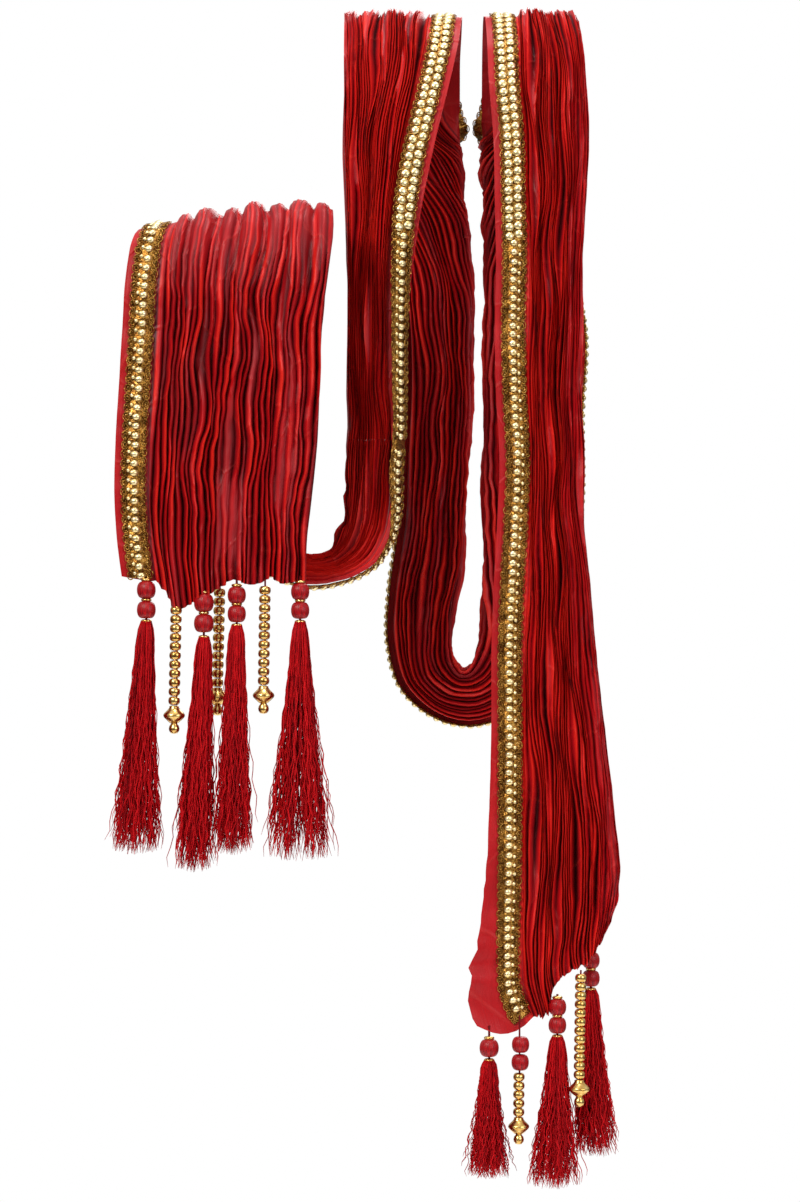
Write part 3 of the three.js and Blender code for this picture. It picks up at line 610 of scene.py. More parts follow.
def crushed_silk_organza(looks):
    """Hand-pleated silk organza with a satin face, painted shade deep in the valleys and painted highlight on
    the creases.
    """
    material, tree, shader = new_material("crushed_silk_organza")
    link = tree.links.new
    ridge = add_node(tree, "ShaderNodeAttribute", attribute_name="ridge").outputs["Fac"]
    see_through_shade = add_node(tree, "ShaderNodeAttribute", attribute_name="see_through_shade").outputs["Fac"]
    cut = add_node(tree, "ShaderNodeUVMap", uv_map="cut").outputs["UV"]
    # Cloudy shading of crushed silk, drawn out along the pleats: about 12 mm across and 60 mm long.
    drawn = add_node(tree, "ShaderNodeMapping", {"Vector": cut, "Scale": (80, 16, 1)}).outputs["Vector"]
    cloud = add_node(tree, "ShaderNodeTexNoise",
                     {"Vector": drawn, "Scale": 1.0, "Detail": 4.0}).outputs["Fac"]
    # Fine lengthwise lines left by the pleater, 1 mm apart.
    lines = add_node(tree, "ShaderNodeMapping", {"Vector": cut, "Scale": (900, 30, 1)}).outputs["Vector"]
    line = add_node(tree, "ShaderNodeTexNoise", {"Vector": lines, "Scale": 1.0, "Detail": 2.0}).outputs["Fac"]
    # Crumple lines, in cells about 25 mm wide.
    cells = add_node(tree, "ShaderNodeMapping", {"Vector": cut, "Scale": (44, 26, 1)}).outputs["Vector"]
    bent = add_node(tree, "ShaderNodeTexNoise",
                    {"Vector": cells, "Scale": 0.8, "Detail": 2.0}).outputs["Color"]
    wavy = add_node(tree, "ShaderNodeMix", {"Factor": 0.35, "A": cells, "B": bent}, data_type="VECTOR")
    crumple = add_node(tree, "ShaderNodeTexVoronoi", {"Vector": wavy.outputs["Result"], "Scale": 1.0},
                       feature="DISTANCE_TO_EDGE").outputs["Distance"]
    crumple = add_node(tree, "ShaderNodeMapRange", {"Value": crumple, "From Min": 0.0, "From Max": 0.035,
                                                    "To Min": 1.0, "To Max": 0.0}).outputs["Result"]
    tone = add_node(tree, "ShaderNodeMath", {0: cloud, 1: 0.5}, operation="MULTIPLY_ADD")
    tone.inputs[2].default_value = -0.25
    lit = add_node(tree, "ShaderNodeMath", {0: ridge, 1: tone.outputs[0]}, operation="ADD").outputs[0]
    streak = add_node(tree, "ShaderNodeMath", {0: line, 1: 0.22}, operation="MULTIPLY_ADD")
    streak.inputs[2].default_value = -0.11
    lit = add_node(tree, "ShaderNodeMath", {0: lit, 1: streak.outputs[0]}, operation="ADD").outputs[0]
    # The ramp paints shade deep in the valleys and on the pleats' sides and a highlight on the creases, round
    # the crimson of the face.
    stops = ((0.0, looks.valley), (0.38, looks.shade), (0.72, looks.crimson), (1.0, looks.ridge))
    silk = add_node(tree, "ShaderNodeValToRGB", {"Fac": lit}, stops=stops).outputs["Color"]
    # Painted glint: the crumple lines are lightened towards a bright orange red.
    glint = add_node(tree, "ShaderNodeMath", {0: crumple, 1: 0.10}, operation="MULTIPLY").outputs[0]
    silk = add_node(tree, "ShaderNodeMix", {"Factor": glint, "A": silk, "B": linear("#e4483a")},
                    data_type="RGBA").outputs["Result"]
    # Painted see-through shade: the streaks are mixed towards a dark grey violet, the shaded inside seen
    # through a single layer.
    see_through_mix = add_node(tree, "ShaderNodeMath", {0: see_through_shade, 1: 0.35}, operation="MULTIPLY").outputs[0]
    silk = add_node(tree, "ShaderNodeMix", {"Factor": see_through_mix, "A": silk, "B": linear(looks.see_through_shade)},
                    data_type="RGBA").outputs["Result"]
    link(silk, shader.inputs["Base Color"])
    # The weave, 0.25 mm threads drawn at 0.9 mm so that it shows at all.
    weave = add_node(tree, "ShaderNodeTexNoise",
                     {"Vector": cut, "Scale": 1100.0, "Detail": 1.0}).outputs["Fac"]
    grain = add_node(tree, "ShaderNodeMath", {0: weave, 1: 0.25}, operation="MULTIPLY").outputs[0]
    relief = add_node(tree, "ShaderNodeMath", {0: line, 1: grain}, operation="ADD").outputs[0]
    relief = add_node(tree, "ShaderNodeMath", {0: crumple, 1: relief}, operation="ADD").outputs[0]
    relief = add_node(tree, "ShaderNodeMath", {0: cloud, 1: relief}, operation="ADD").outputs[0]
    bump = add_node(tree, "ShaderNodeBump", {"Height": relief, "Strength": 0.4, "Distance": 0.0010})
    link(bump.outputs["Normal"], shader.inputs["Normal"])
    rough = add_node(tree, "ShaderNodeMapRange", {"Value": cloud, "To Min": 0.34, "To Max": 0.56})
    link(rough.outputs["Result"], shader.inputs["Roughness"])
    set_shader(shader, Sheen_Weight=0.03, Sheen_Roughness=0.4, Specular_IOR_Level=0.28, IOR=1.5)
    shader.inputs["Sheen Tint"].default_value = linear("#ff6a50")
    return material


def gold_bullion_gimp(looks):
    """Gimp of coiled gilt wire, with painted shade of warm brown gold in its hollows and a painted highlight
    on the coils.
    """
    material, tree, shader = new_material("gold_bullion_gimp")
    place = add_node(tree, "ShaderNodeTexCoord").outputs["Object"]
    # Coils of the wire, 0.9 mm apart.
    coil = add_node(tree, "ShaderNodeTexVoronoi", {"Vector": place, "Scale": 1100.0}).outputs["Distance"]
    tarnish = add_node(tree, "ShaderNodeTexNoise",
                       {"Vector": place, "Scale": 160.0, "Detail": 3.0}).outputs["Fac"]
    mixed = add_node(tree, "ShaderNodeMath", {0: coil, 1: tarnish}, operation="MULTIPLY").outputs[0]
    # Painted shade and highlight: light gold near the middle of each coil, dark brown gold towards its
    # hollows, varied by the tarnish noise.
    stops = ((0.01, looks.gold_light), (0.12, looks.gold), (0.34, looks.gold_dark))
    gilt = add_node(tree, "ShaderNodeValToRGB", {"Fac": mixed}, stops=stops).outputs["Color"]
    tree.links.new(gilt, shader.inputs["Base Color"])
    bump = add_node(tree, "ShaderNodeBump", {"Height": coil, "Strength": 0.5, "Distance": 0.0004})
    tree.links.new(bump.outputs["Normal"], shader.inputs["Normal"])
    set_shader(shader, Metallic=0.92, Roughness=0.34)
    return material


def gilt_sequin(looks):
    """Pressed gilt sequins: polished, pale gold, with a slightly uneven face."""
    material, tree, shader = new_material("pressed_gilt_sequin")
    place = add_node(tree, "ShaderNodeTexCoord").outputs["Object"]
    dent = add_node(tree, "ShaderNodeTexNoise",
                    {"Vector": place, "Scale": 420.0, "Detail": 2.0}).outputs["Fac"]
    stops = ((0.25, looks.gold_light), (0.75, looks.gold_pale))
    gilt = add_node(tree, "ShaderNodeValToRGB", {"Fac": dent}, stops=stops).outputs["Color"]
    tree.links.new(gilt, shader.inputs["Base Color"])
    bump = add_node(tree, "ShaderNodeBump", {"Height": dent, "Strength": 0.35, "Distance": 0.0006})
    tree.links.new(bump.outputs["Normal"], shader.inputs["Normal"])
    set_shader(shader, Metallic=0.9, Roughness=0.3)
    return material


def gold_plated_bead(looks):
    """Gold-plated hollow beads: mirror bright, a little worn to brown in the grooves."""
    material, tree, shader = new_material("gold_plated_bead")
    place = add_node(tree, "ShaderNodeTexCoord").outputs["Object"]
    wear = add_node(tree, "ShaderNodeTexNoise",
                    {"Vector": place, "Scale": 260.0, "Detail": 3.0}).outputs["Fac"]
    stops = ((0.12, looks.gold_dark), (0.4, looks.bead_gold), (0.7, looks.gold_light))
    plate = add_node(tree, "ShaderNodeValToRGB", {"Fac": wear}, stops=stops).outputs["Color"]
    tree.links.new(plate, shader.inputs["Base Color"])
    rough = add_node(tree, "ShaderNodeMapRange", {"Value": wear, "To Min": 0.14, "To Max": 0.3})
    tree.links.new(rough.outputs["Result"], shader.inputs["Roughness"])
    set_shader(shader, Metallic=1.0)
    return material


def silk_wrapped_bead(looks):
    """Silk floss wound from pole to pole over a wooden bead: satin, with fine lines down it."""
    material, tree, shader = new_material("silk_wrapped_bead")
    turn = add_node(tree, "ShaderNodeUVMap", uv_map="wrap").outputs["UV"]
    # About 70 threads lie round a bead.
    wound = add_node(tree, "ShaderNodeMapping", {"Vector": turn, "Scale": (70, 2, 1)}).outputs["Vector"]
    floss = add_node(tree, "ShaderNodeTexNoise",
                     {"Vector": wound, "Scale": 1.0, "Detail": 2.0}).outputs["Fac"]
    stops = ((0.25, looks.valley), (0.45, looks.shade), (0.62, looks.crimson), (0.85, looks.ridge))
    silk = add_node(tree, "ShaderNodeValToRGB", {"Fac": floss}, stops=stops).outputs["Color"]
    tree.links.new(silk, shader.inputs["Base Color"])
    bump = add_node(tree, "ShaderNodeBump", {"Height": floss, "Strength": 0.5, "Distance": 0.0005})
    tree.links.new(bump.outputs["Normal"], shader.inputs["Normal"])
    set_shader(shader, Roughness=0.36, Specular_IOR_Level=0.3)
    return material


def crimped_silk_thread(looks):
    """Loose crimped silk thread, each strand its own tone, which in the tassels is partly painted shade
    towards the core.
    """
    material, tree, shader = new_material("crimped_silk_thread")
    tone = add_node(tree, "ShaderNodeAttribute", attribute_name="tone").outputs["Fac"]
    place = add_node(tree, "ShaderNodeTexCoord").outputs["Object"]
    fluff = add_node(tree, "ShaderNodeTexNoise",
                     {"Vector": place, "Scale": 300.0, "Detail": 2.0}).outputs["Fac"]
    shade = add_node(tree, "ShaderNodeMath", {0: fluff, 1: 0.3}, operation="MULTIPLY_ADD")
    shade.inputs[2].default_value = -0.15
    lit = add_node(tree, "ShaderNodeMath", {0: tone, 1: shade.outputs[0]}, operation="ADD").outputs[0]
    stops = ((0.0, looks.thread_dark), (0.5, looks.thread), (1.0, looks.thread_light))
    silk = add_node(tree, "ShaderNodeValToRGB", {"Fac": lit}, stops=stops).outputs["Color"]
    tree.links.new(silk, shader.inputs["Base Color"])
    set_shader(shader, Roughness=0.55, Specular_IOR_Level=0.12)
    return material


def once(maker, looks):
    """The material that a maker makes, made the first time that it is asked for."""
    kept = bpy.data.materials.get(MATERIAL_NAMES[maker])
    return kept or maker(looks)


MATERIAL_NAMES = {
    crushed_silk_organza: "crushed_silk_organza",
    gold_bullion_gimp: "gold_bullion_gimp",
    gilt_sequin: "pressed_gilt_sequin",
    gold_plated_bead: "gold_plated_bead",
    silk_wrapped_bead: "silk_wrapped_bead",
    crimped_silk_thread: "crimped_silk_thread",
}


# ---- Cloth --------------------------------------------------------------------------------------------


def grid_faces(rows, columns):
    here = np.arange(rows * columns).reshape(rows, columns)
    quads = np.stack([here[:-1, :-1], here[:-1, 1:], here[1:, 1:], here[1:, :-1]], axis=-1)
    return quads.reshape(-1, 4)


def make_cloth(strip, number, settings, looks):
    name = STRETCH_NAMES[number]
    rows = strip.rows_of(number)
    points = strip.points[rows] * MM
    faces = grid_faces(len(rows), points.shape[1])
    material = once(crushed_silk_organza, looks)
    piece = mesh_piece(f"organza_{name}", points.reshape(-1, 3).tolist(), faces.tolist(), material)
    mesh = piece.data
    steps = np.linalg.norm(np.diff(strip.points[rows], axis=1), axis=2)
    cut_across = np.concatenate([np.zeros((len(rows), 1)), np.cumsum(steps, axis=1)], axis=1)
    cut_across = np.broadcast_to(cut_across.mean(axis=0), cut_across.shape)
    cut = np.stack([cut_across, np.broadcast_to(strip.along[rows][:, None], cut_across.shape)], axis=-1) * MM
    corner = np.empty(len(mesh.loops), dtype=np.int64)
    mesh.loops.foreach_get("vertex_index", corner)
    mesh.uv_layers.new(name="cut").data.foreach_set("uv", cut.reshape(-1, 2)[corner].reshape(-1))
    apply_modifier(piece, "SOLIDIFY", thickness=settings.thickness, offset=0.0)
    store_painted_pleat_light(mesh, points.reshape(-1, 3), strip.normals[rows].reshape(-1, 3),
                     strip.ridge[rows].reshape(-1), strip.see_through_shade[rows].reshape(-1))
    only(piece)
    bpy.ops.object.shade_smooth_by_angle(angle=math.radians(75))
    finish_piece(piece, "pleated_organza", f"cloth_{name}")
    return piece


def store_painted_pleat_light(mesh, middle, normals, ridge, see_through_shade):
    """Stores the painted shade of the valleys and the painted highlight of the ridges, which are the other
    way round on the cloth's other side, and where the painted see-through shade goes.
    """
    places = np.empty(len(mesh.vertices) * 3)
    mesh.vertices.foreach_get("co", places)
    first = places.reshape(-1, 3)[: len(middle)] - middle
    front = np.einsum("ij,ij->i", first, normals).mean() > 0
    sides = (ridge, 1 - ridge) if front else (1 - ridge, ridge)
    band = np.isclose(ridge, BAND_TONE)
    sides = [np.where(band, BAND_TONE, side) for side in sides]
    for key, values in (("ridge", np.concatenate(sides)), ("see_through_shade", np.concatenate([see_through_shade, see_through_shade]))):
        mesh.attributes.new(key, "FLOAT", "POINT").data.foreach_set("value", values)


# ---- Trim ---------------------------------------------------------------------------------------------

TRIM_PITCH = 8.0
TWO_ROWS_ABOVE = -200             # above this height two staggered rows of sequins are sewn on
RIBBON_STEPS = 6                  # rows of the ribbon for each pitch


def edit_copy(make):
    """Runs operators that make one shape, and returns its vertices and faces, leaving no object behind."""
    bpy.ops.object.select_all(action="DESELECT")
    make()
    shape = bpy.context.object
    vertices = np.array([tuple(shape.matrix_world @ vertex.co) for vertex in shape.data.vertices])
    faces = [tuple(face.vertices) for face in shape.data.polygons]
    bpy.data.objects.remove(shape, do_unlink=True)
    return vertices, faces


def sequin_shape(width, length, height):
    """A domed sequin: a sphere cut in half, its cut filled, then squashed."""

    def make():
        bpy.ops.mesh.primitive_uv_sphere_add(segments=12, ring_count=8, radius=1.0)
        bpy.ops.object.mode_set(mode="EDIT")
        bpy.ops.mesh.select_all(action="SELECT")
        bpy.ops.mesh.bisect(plane_co=(0, 0, 0), plane_no=(0, 0, 1), clear_inner=True, use_fill=True)
        bpy.ops.mesh.select_all(action="SELECT")
        bpy.ops.transform.resize(value=(width / 2, length / 2, height), center_override=(0, 0, 0))
        bpy.ops.object.mode_set(mode="OBJECT")

    return edit_copy(make)


def loop_shape(wide, long, cord):
    """A loop of bullion cord lying flat."""

    def make():
        bpy.ops.mesh.primitive_torus_add(
            major_segments=12, minor_segments=5, major_radius=long / 2 - cord, minor_radius=cord
        )
        bpy.ops.object.mode_set(mode="EDIT")
        bpy.ops.mesh.select_all(action="SELECT")
        bpy.ops.transform.resize(value=(wide / long, 1, 1), center_override=(0, 0, 0))
        bpy.ops.object.mode_set(mode="OBJECT")

    return edit_copy(make)


# across: place from the trim's centre. along: share of the pitch. rise: height of the shape's foot.
# Both ways are sewn with a row of loops at each side, and differ in their sequins.
LOOPS = (
    ("outer", -8.1, 0.0, 0.7), ("outer", 8.1, 0.5, 0.7), ("inner", -7.9, 0.0, 0.8), ("inner", 7.9, 0.5, 0.8),
)
ONE_ROW = (("bean", 0.6, 0.0, 0.9), ("seed", -4.4, 0.5, 0.8))
TWO_ROWS = (("disc", -4.0, 0.0, 0.9), ("disc", 4.2, 0.5, 1.1))


class TrimPath:
    """The trim's centre line on a stretch, with its directions across, along and up, by distance."""

    def __init__(self, strip, number):
        rows = strip.rows_of(number)
        inwards, normal = strip.trim_across[rows], strip.trim_up[rows]
        turn = np.radians(strip.roll[rows])[:, None]
        across = inwards * np.cos(turn) + normal * np.sin(turn)
        up = normal * np.cos(turn) - inwards * np.sin(turn)
        inset = (TRIM_INSET + strip.drift[rows])[:, None]
        lift = TRIM_LIFT * (1 - 0.8 * np.sin(turn))
        line = strip.trim_edge[rows] + up * lift + across * inset * np.cos(turn)
        self.run = np.concatenate([[0], np.cumsum(np.linalg.norm(np.diff(line, axis=0), axis=1))])
        self.line, self.across, self.up = line, across, up

    def frame(self, distance):
        read = lambda values: np.stack(
            [np.interp(distance, self.run, values[:, axis]) for axis in range(3)], axis=-1
        )
        across, up = unit(read(self.across)), unit(read(self.up))
        return read(self.line), across, unit(np.cross(up, across)), up


def ribbon(path, total):
    """Scalloped ground of the trim: a flat braid whose edges follow the loops."""
    steps = int(total / TRIM_PITCH * RIBBON_STEPS)
    places = np.linspace(0, total, steps + 1)
    centre, across, _, up = path.frame(places)
    scallop = 8.4 + 1.5 * np.abs(np.sin(math.pi * places / TRIM_PITCH))
    scallop_right = 8.4 + 1.5 * np.abs(np.cos(math.pi * places / TRIM_PITCH))
    corners = [(-scallop, 0.45), (scallop_right, 0.45), (scallop_right, -0.35), (-scallop, -0.35)]
    rings = np.stack([centre + across * side[:, None] + up * rise for side, rise in corners], axis=1)
    faces = []
    for row in range(steps):
        for side in range(4):
            low, beside = row * 4 + side, row * 4 + (side + 1) % 4
            faces.append((low, beside, beside + 4, low + 4))
    faces.append((0, 3, 2, 1))
    faces.append(tuple(steps * 4 + side for side in range(4)))
    return rings.reshape(-1, 3), faces


def make_trim(strip, number, looks):
    name = STRETCH_NAMES[number]
    path = TrimPath(strip, number)
    total = path.run[-1]
    shapes = {
        "outer": loop_shape(6.4, 8.4, 0.62),
        "inner": loop_shape(3.6, 4.6, 0.5),
        "bean": sequin_shape(7.4, 6.0, 2.7),
        "seed": sequin_shape(3.4, 3.4, 1.6),
        "disc": sequin_shape(8.2, 7.6, 2.3),
    }
    vertices, faces = ribbon(path, total)
    blocks, polygons, finish = [vertices], list(faces), [0] * len(faces)
    count = len(vertices)
    draw = np.random.default_rng(100 + number)
    for step in range(int(total / TRIM_PITCH)):
        height = path.frame(np.array([step * TRIM_PITCH]))[0][0, 2]
        sequins = TWO_ROWS if height > TWO_ROWS_ABOVE and number in (2, 4) else ONE_ROW
        for kind, across_at, share, rise in LOOPS + sequins:
            place = (step + 0.25 + share * 0.5) * TRIM_PITCH + draw.uniform(-0.3, 0.3)
            centre, across, along, up = (values[0] for values in path.frame(np.array([place])))
            shape, shape_faces = shapes[kind]
            tilt = draw.uniform(-0.12, 0.12)
            local = shape.copy()
            local[:, 2] += local[:, 0] * tilt + rise
            local[:, 0] += across_at + draw.uniform(-0.25, 0.25)
            blocks.append(centre + local[:, :1] * across + local[:, 1:2] * along + local[:, 2:] * up)
            polygons.extend(tuple(corner + count for corner in face) for face in shape_faces)
            finish.extend([1 if kind in ("bean", "seed", "disc") else 0] * len(shape_faces))
            count += len(shape)
    points = np.concatenate(blocks) * MM
    piece = mesh_piece(f"gimp_{name}", points.tolist(), polygons, once(gold_bullion_gimp, looks))
    piece.data.materials.append(once(gilt_sequin, looks))
    piece.data.polygons.foreach_set("material_index", finish)
    finish_piece(piece, "gold_trim", f"trim_{name}")
    return piece


# ---- Beads and tassels --------------------------------------------------------------------------------


def turned(name, profile, centre, sides, material):
    """A turned shape: a disc, extruded and resized ring by ring up its profile of (radius, height) rows."""
    bpy.ops.object.select_all(action="DESELECT")
    first_radius, first_height = profile[0]
    base = Vector(centre) + Vector((0, 0, first_height))
    bpy.ops.mesh.primitive_circle_add(vertices=sides, radius=first_radius, fill_type="NGON", location=base)
    bpy.ops.object.transform_apply(location=True)
    piece = bpy.context.object
    piece.name = piece.data.name = name
    bpy.ops.object.mode_set(mode="EDIT")
    bpy.ops.mesh.select_all(action="SELECT")
    radius, height = first_radius, first_height
    for next_radius, next_height in profile[1:]:
        rise = (0, 0, next_height - height)
        bpy.ops.mesh.extrude_region_move(TRANSFORM_OT_translate={"value": rise})
        scale = next_radius / radius
        middle = Vector(centre) + Vector((0, 0, next_height))
        bpy.ops.transform.resize(value=(scale, scale, 1), center_override=middle)
        radius, height = next_radius, next_height
    bpy.ops.mesh.select_all(action="SELECT")
    bpy.ops.mesh.normals_make_consistent(inside=False)
    bpy.ops.object.mode_set(mode="OBJECT")
    piece.data.materials.clear()
    piece.data.materials.append(material)
    piece.data.shade_smooth()
    return piece


def placed_copy(source, name, move):
    """A copy with its own mesh, moved within its mesh."""
    mesh = source.data.copy()
    mesh.transform(Matrix.Translation(move))
    copy = bpy.data.objects.new(name, mesh)
    bpy.context.scene.collection.objects.link(copy)
    return copy


def joined(pieces, name):
    bpy.ops.object.select_all(action="DESELECT")
    for piece in pieces:
        piece.select_set(True)
    bpy.context.view_layer.objects.active = pieces[0]
    bpy.ops.object.join()
    whole = bpy.context.object
    whole.name = whole.data.name = name
    return whole


def round_profile(radius, half_height, hole, rings=8, fullness=0.62):
    """Half an outline of a round bead from its lower hole to its upper one."""
    rows = []
    for step in range(rings + 1):
        angle = math.pi * (step / rings - 0.5)
        reach = hole + (radius - hole) * max(math.cos(angle), 0.0) ** fullness
        rows.append((reach, half_height * math.sin(angle)))
    return rows


def make_silk_bead(node, looks):
    size, centre = node_size(node), node_centre(node)
    radius = max(size.x, size.y) / 2 * 1.03
    profile = round_profile(radius, size.z / 2 + 0.3 * MM, 1.6 * MM, rings=12)
    bead = turned(f"silk_{node}", profile, centre, 28, once(silk_wrapped_bead, looks))
    mesh = bead.data
    turn = mesh.uv_layers.new(name="wrap")
    for polygon in mesh.polygons:
        middle = polygon.center - centre
        base = math.atan2(middle.y, middle.x)
        for corner in polygon.loop_indices:
            place = mesh.vertices[mesh.loops[corner].vertex_index].co - centre
            angle = math.atan2(place.y, place.x)
            angle += 2 * math.pi * round((base - angle) / (2 * math.pi))
            turn.data[corner].uv = (angle / (2 * math.pi), place.z / size.z)
    finish_piece(bead, "silk_beads", node)
    return bead


def make_rings(tassel, looks):
    """The small gold rings above, between and below the silk beads, with the thread that joins them."""
    node = f"{tassel}_rings"
    low, high = (Vector(corner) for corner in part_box(node))
    centre = (low + high) / 2
    gold = once(gold_plated_bead, looks)
    beads = [f"{tassel}_bead_lower", f"{tassel}_bead_upper"]
    beads = [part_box(bead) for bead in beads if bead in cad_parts]
    heights = [low.z + 1.2 * MM] + [bead[1][2] + 1.4 * MM for bead in beads]
    outline = round_profile(4.6 * MM, 1.5 * MM, 1.5 * MM, rings=6)
    first = turned(f"gold_{node}", outline, (centre.x, centre.y, heights[0]), 20, gold)
    rings = [first]
    for index, height in enumerate(heights[1:]):
        rings.append(placed_copy(first, f"ring_{index}", (0, 0, height - heights[0])))
    thread = turned(f"core_{tassel}", [(1.0 * MM, low.z), (1.0 * MM, high.z + 3 * MM)],
                    (centre.x, centre.y, 0), 8, once(crimped_silk_thread, looks))
    whole = joined(rings + [thread], f"gold_{node}")
    finish_piece(whole, "gold_beads", node)
    return whole


def strand_mesh(paths, radius, sides=3):
    """One closed thin tube for each path, an array of strands by steps by three."""
    strands, steps, _ = paths.shape
    along = unit(np.gradient(paths, axis=1))
    side = unit(np.cross(along, np.array([0.31, 0.95, 0.02])))
    other = np.cross(along, side)
    angles = 2 * math.pi * np.arange(sides) / sides
    taper = radius * np.concatenate([np.ones(steps - 2), [0.8, 0.35]])
    ring = (
        paths[:, :, None]
        + side[:, :, None] * (np.cos(angles)[None, None, :, None] * taper[None, :, None, None])
        + other[:, :, None] * (np.sin(angles)[None, None, :, None] * taper[None, :, None, None])
    )
    base = np.arange(strands)[:, None, None] * (steps * sides)
    step = np.arange(steps - 1)[None, :, None] * sides
    corner = np.arange(sides)[None, None, :]
    here = base + step + corner
    beside = base + step + (corner + 1) % sides
    quads = np.stack([here, beside, beside + sides, here + sides], axis=-1).reshape(-1, 4)
    first = np.arange(strands)[:, None] * (steps * sides)
    start_caps = (first + np.arange(sides)[None, ::-1]).tolist()
    end_caps = (first + (steps - 1) * sides + np.arange(sides)[None, :]).tolist()
    return ring.reshape(-1, 3), quads.tolist() + start_caps + end_caps


def make_skirt(tassel, number, settings, looks):
    node = f"{tassel}_skirt"
    low, high = (Vector(corner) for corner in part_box(node))
    head = node_centre(f"{tassel}_bead_lower")
    spread = (high.y - low.y) / 2 * 1.02
    foot = Vector(((low.x + high.x) / 2, (low.y + high.y) / 2, low.z))
    draw = np.random.default_rng(500 + number)
    count, steps = settings.strands, 24
    share = np.linspace(0, 1, steps)[None, :]
    angle = draw.uniform(0, 2 * math.pi, count)[:, None]
    inner = np.sqrt(draw.uniform(0.02, 1, count))[:, None]
    length = (high.z - low.z) * (1 - 0.2 * draw.uniform(0, 1, count) ** 2)[:, None]
    neck, shoulder = 4.4 * MM, 7.4 * MM
    rise = np.clip(share / 0.07, 0, 1) ** 0.6
    profile = neck + (shoulder - neck) * rise + (spread - shoulder) * np.clip(share - 0.05, 0, 1) ** 1.25
    stray = np.where(draw.uniform(0, 1, count) > 0.88, draw.uniform(1.1, 1.5, count), 1.0)[:, None]
    radial = profile * inner * (1 + (stray - 1) * share)
    swirl = angle + draw.normal(0, 0.35, count)[:, None] * share
    crimp = lambda: (
        1.5 * MM * share**0.7 * np.sin(2 * math.pi * share * draw.uniform(5, 9, count)[:, None]
                                      + draw.uniform(0, 6.28, count)[:, None])
    )
    wander = lambda: draw.normal(0, 2.2 * MM, count)[:, None] * share**1.5
    x = head.x + (foot.x - head.x) * share + radial * np.cos(swirl) + crimp() + wander()
    y = head.y + (foot.y - head.y) * share + radial * np.sin(swirl) + crimp() + wander()
    z = high.z + 1.5 * MM - length * share * (1 - 0.03 * inner)
    paths = np.stack([x, y, z], axis=-1)
    points, faces = strand_mesh(paths, 0.42 * MM)
    piece = mesh_piece(f"threads_{tassel}", points.tolist(), faces, once(crimped_silk_thread, looks))
    # Each strand's tone differs at random, with painted shade on the strands near the tassel's core and a
    # little painted light on those outside.
    tone = np.repeat(np.clip(draw.normal(0.5, 0.2, count) + 0.2 * (inner[:, 0] - 0.6), 0, 1), steps * 3)
    piece.data.attributes.new("tone", "FLOAT", "POINT").data.foreach_set("value", tone)
    finish_piece(piece, "tassel_thread", node)
    return piece


DROPS = {"arm_drop_1": 11, "arm_drop_2": 11, "arm_drop_3": 11, "front_drop_1": 5, "front_drop_2": 12}
RONDELLE_PITCH = 7.7 * MM


def make_rondelles(drop, looks):
    """Gold rondelles on their thread, from the pendant up."""
    node = f"{drop}_rondelles"
    low, high = (Vector(corner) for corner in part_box(node))
    pendant = node_centre(f"{drop}_pendant")
    count = DROPS[drop]
    gold = once(gold_plated_bead, looks)
    outline = round_profile(5.0 * MM, 3.7 * MM, 1.2 * MM, rings=8)
    lean_side = (low.x + high.x) / 2 - pendant.x
    start = Vector((pendant.x, pendant.y, low.z + RONDELLE_PITCH / 2))
    first = turned(f"gold_{node}", outline, start, 20, gold)
    beads = [first]
    for index in range(1, count):
        share = index * RONDELLE_PITCH / (high.z - low.z)
        move = Vector((2 * lean_side * share * 0.6, 0, index * RONDELLE_PITCH))
        beads.append(placed_copy(first, f"rondelle_{index}", move))
    top = Vector((2 * lean_side * 0.6, 0, 0))
    thread = turned(f"thread_{drop}", [(0.8 * MM, low.z), (0.8 * MM, high.z + 3 * MM)],
                    (pendant.x + top.x, pendant.y, 0), 8, once(crimped_silk_thread, looks))
    whole = joined(beads + [thread], f"gold_{node}")
    finish_piece(whole, "gold_beads", node)
    return whole


def make_pendant(drop, looks):
    """A bicone with a waist and a round end bead."""
    node = f"{drop}_pendant"
    low, high = (Vector(corner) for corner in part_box(node))
    centre = (low + high) / 2
    radius, height = (high.y - low.y) / 2, high.z - low.z
    rows = (
        (0.05, 0.0), (0.30, 0.02), (0.46, 0.10), (0.50, 0.18), (0.44, 0.28), (0.28, 0.35), (0.34, 0.38),
        (0.42, 0.39), (0.62, 0.46), (0.94, 0.58), (1.00, 0.63), (1.00, 0.67), (0.94, 0.72), (0.60, 0.85),
        (0.44, 0.93), (0.46, 0.97), (0.30, 1.0),
    )
    profile = [(radius * share, low.z + height * level) for share, level in rows]
    piece = turned(f"gold_{node}", profile, (centre.x, centre.y, 0), 24, once(gold_plated_bead, looks))
    finish_piece(piece, "gold_beads", node)
    return piece


# ---- Settings -----------------------------------------------------------------------------------------


class ClothSettings(bpy.types.PropertyGroup):
    """Sizes of the pleated cloth."""

    pleats: bpy.props.IntProperty(
        name="Pleats", description="Fine pleats across the strip", default=28, min=8
    )
    pleat_depth: bpy.props.FloatProperty(
        name="Pleat depth", description="Depth of a full pleat in millimetres", default=8.5
    )
    thickness: bpy.props.FloatProperty(
        name="Thickness", description="Thickness of the cloth", default=0.0005, unit="LENGTH"
    )
    strands: bpy.props.IntProperty(name="Strands", description="Threads in a tassel", default=300, min=20)


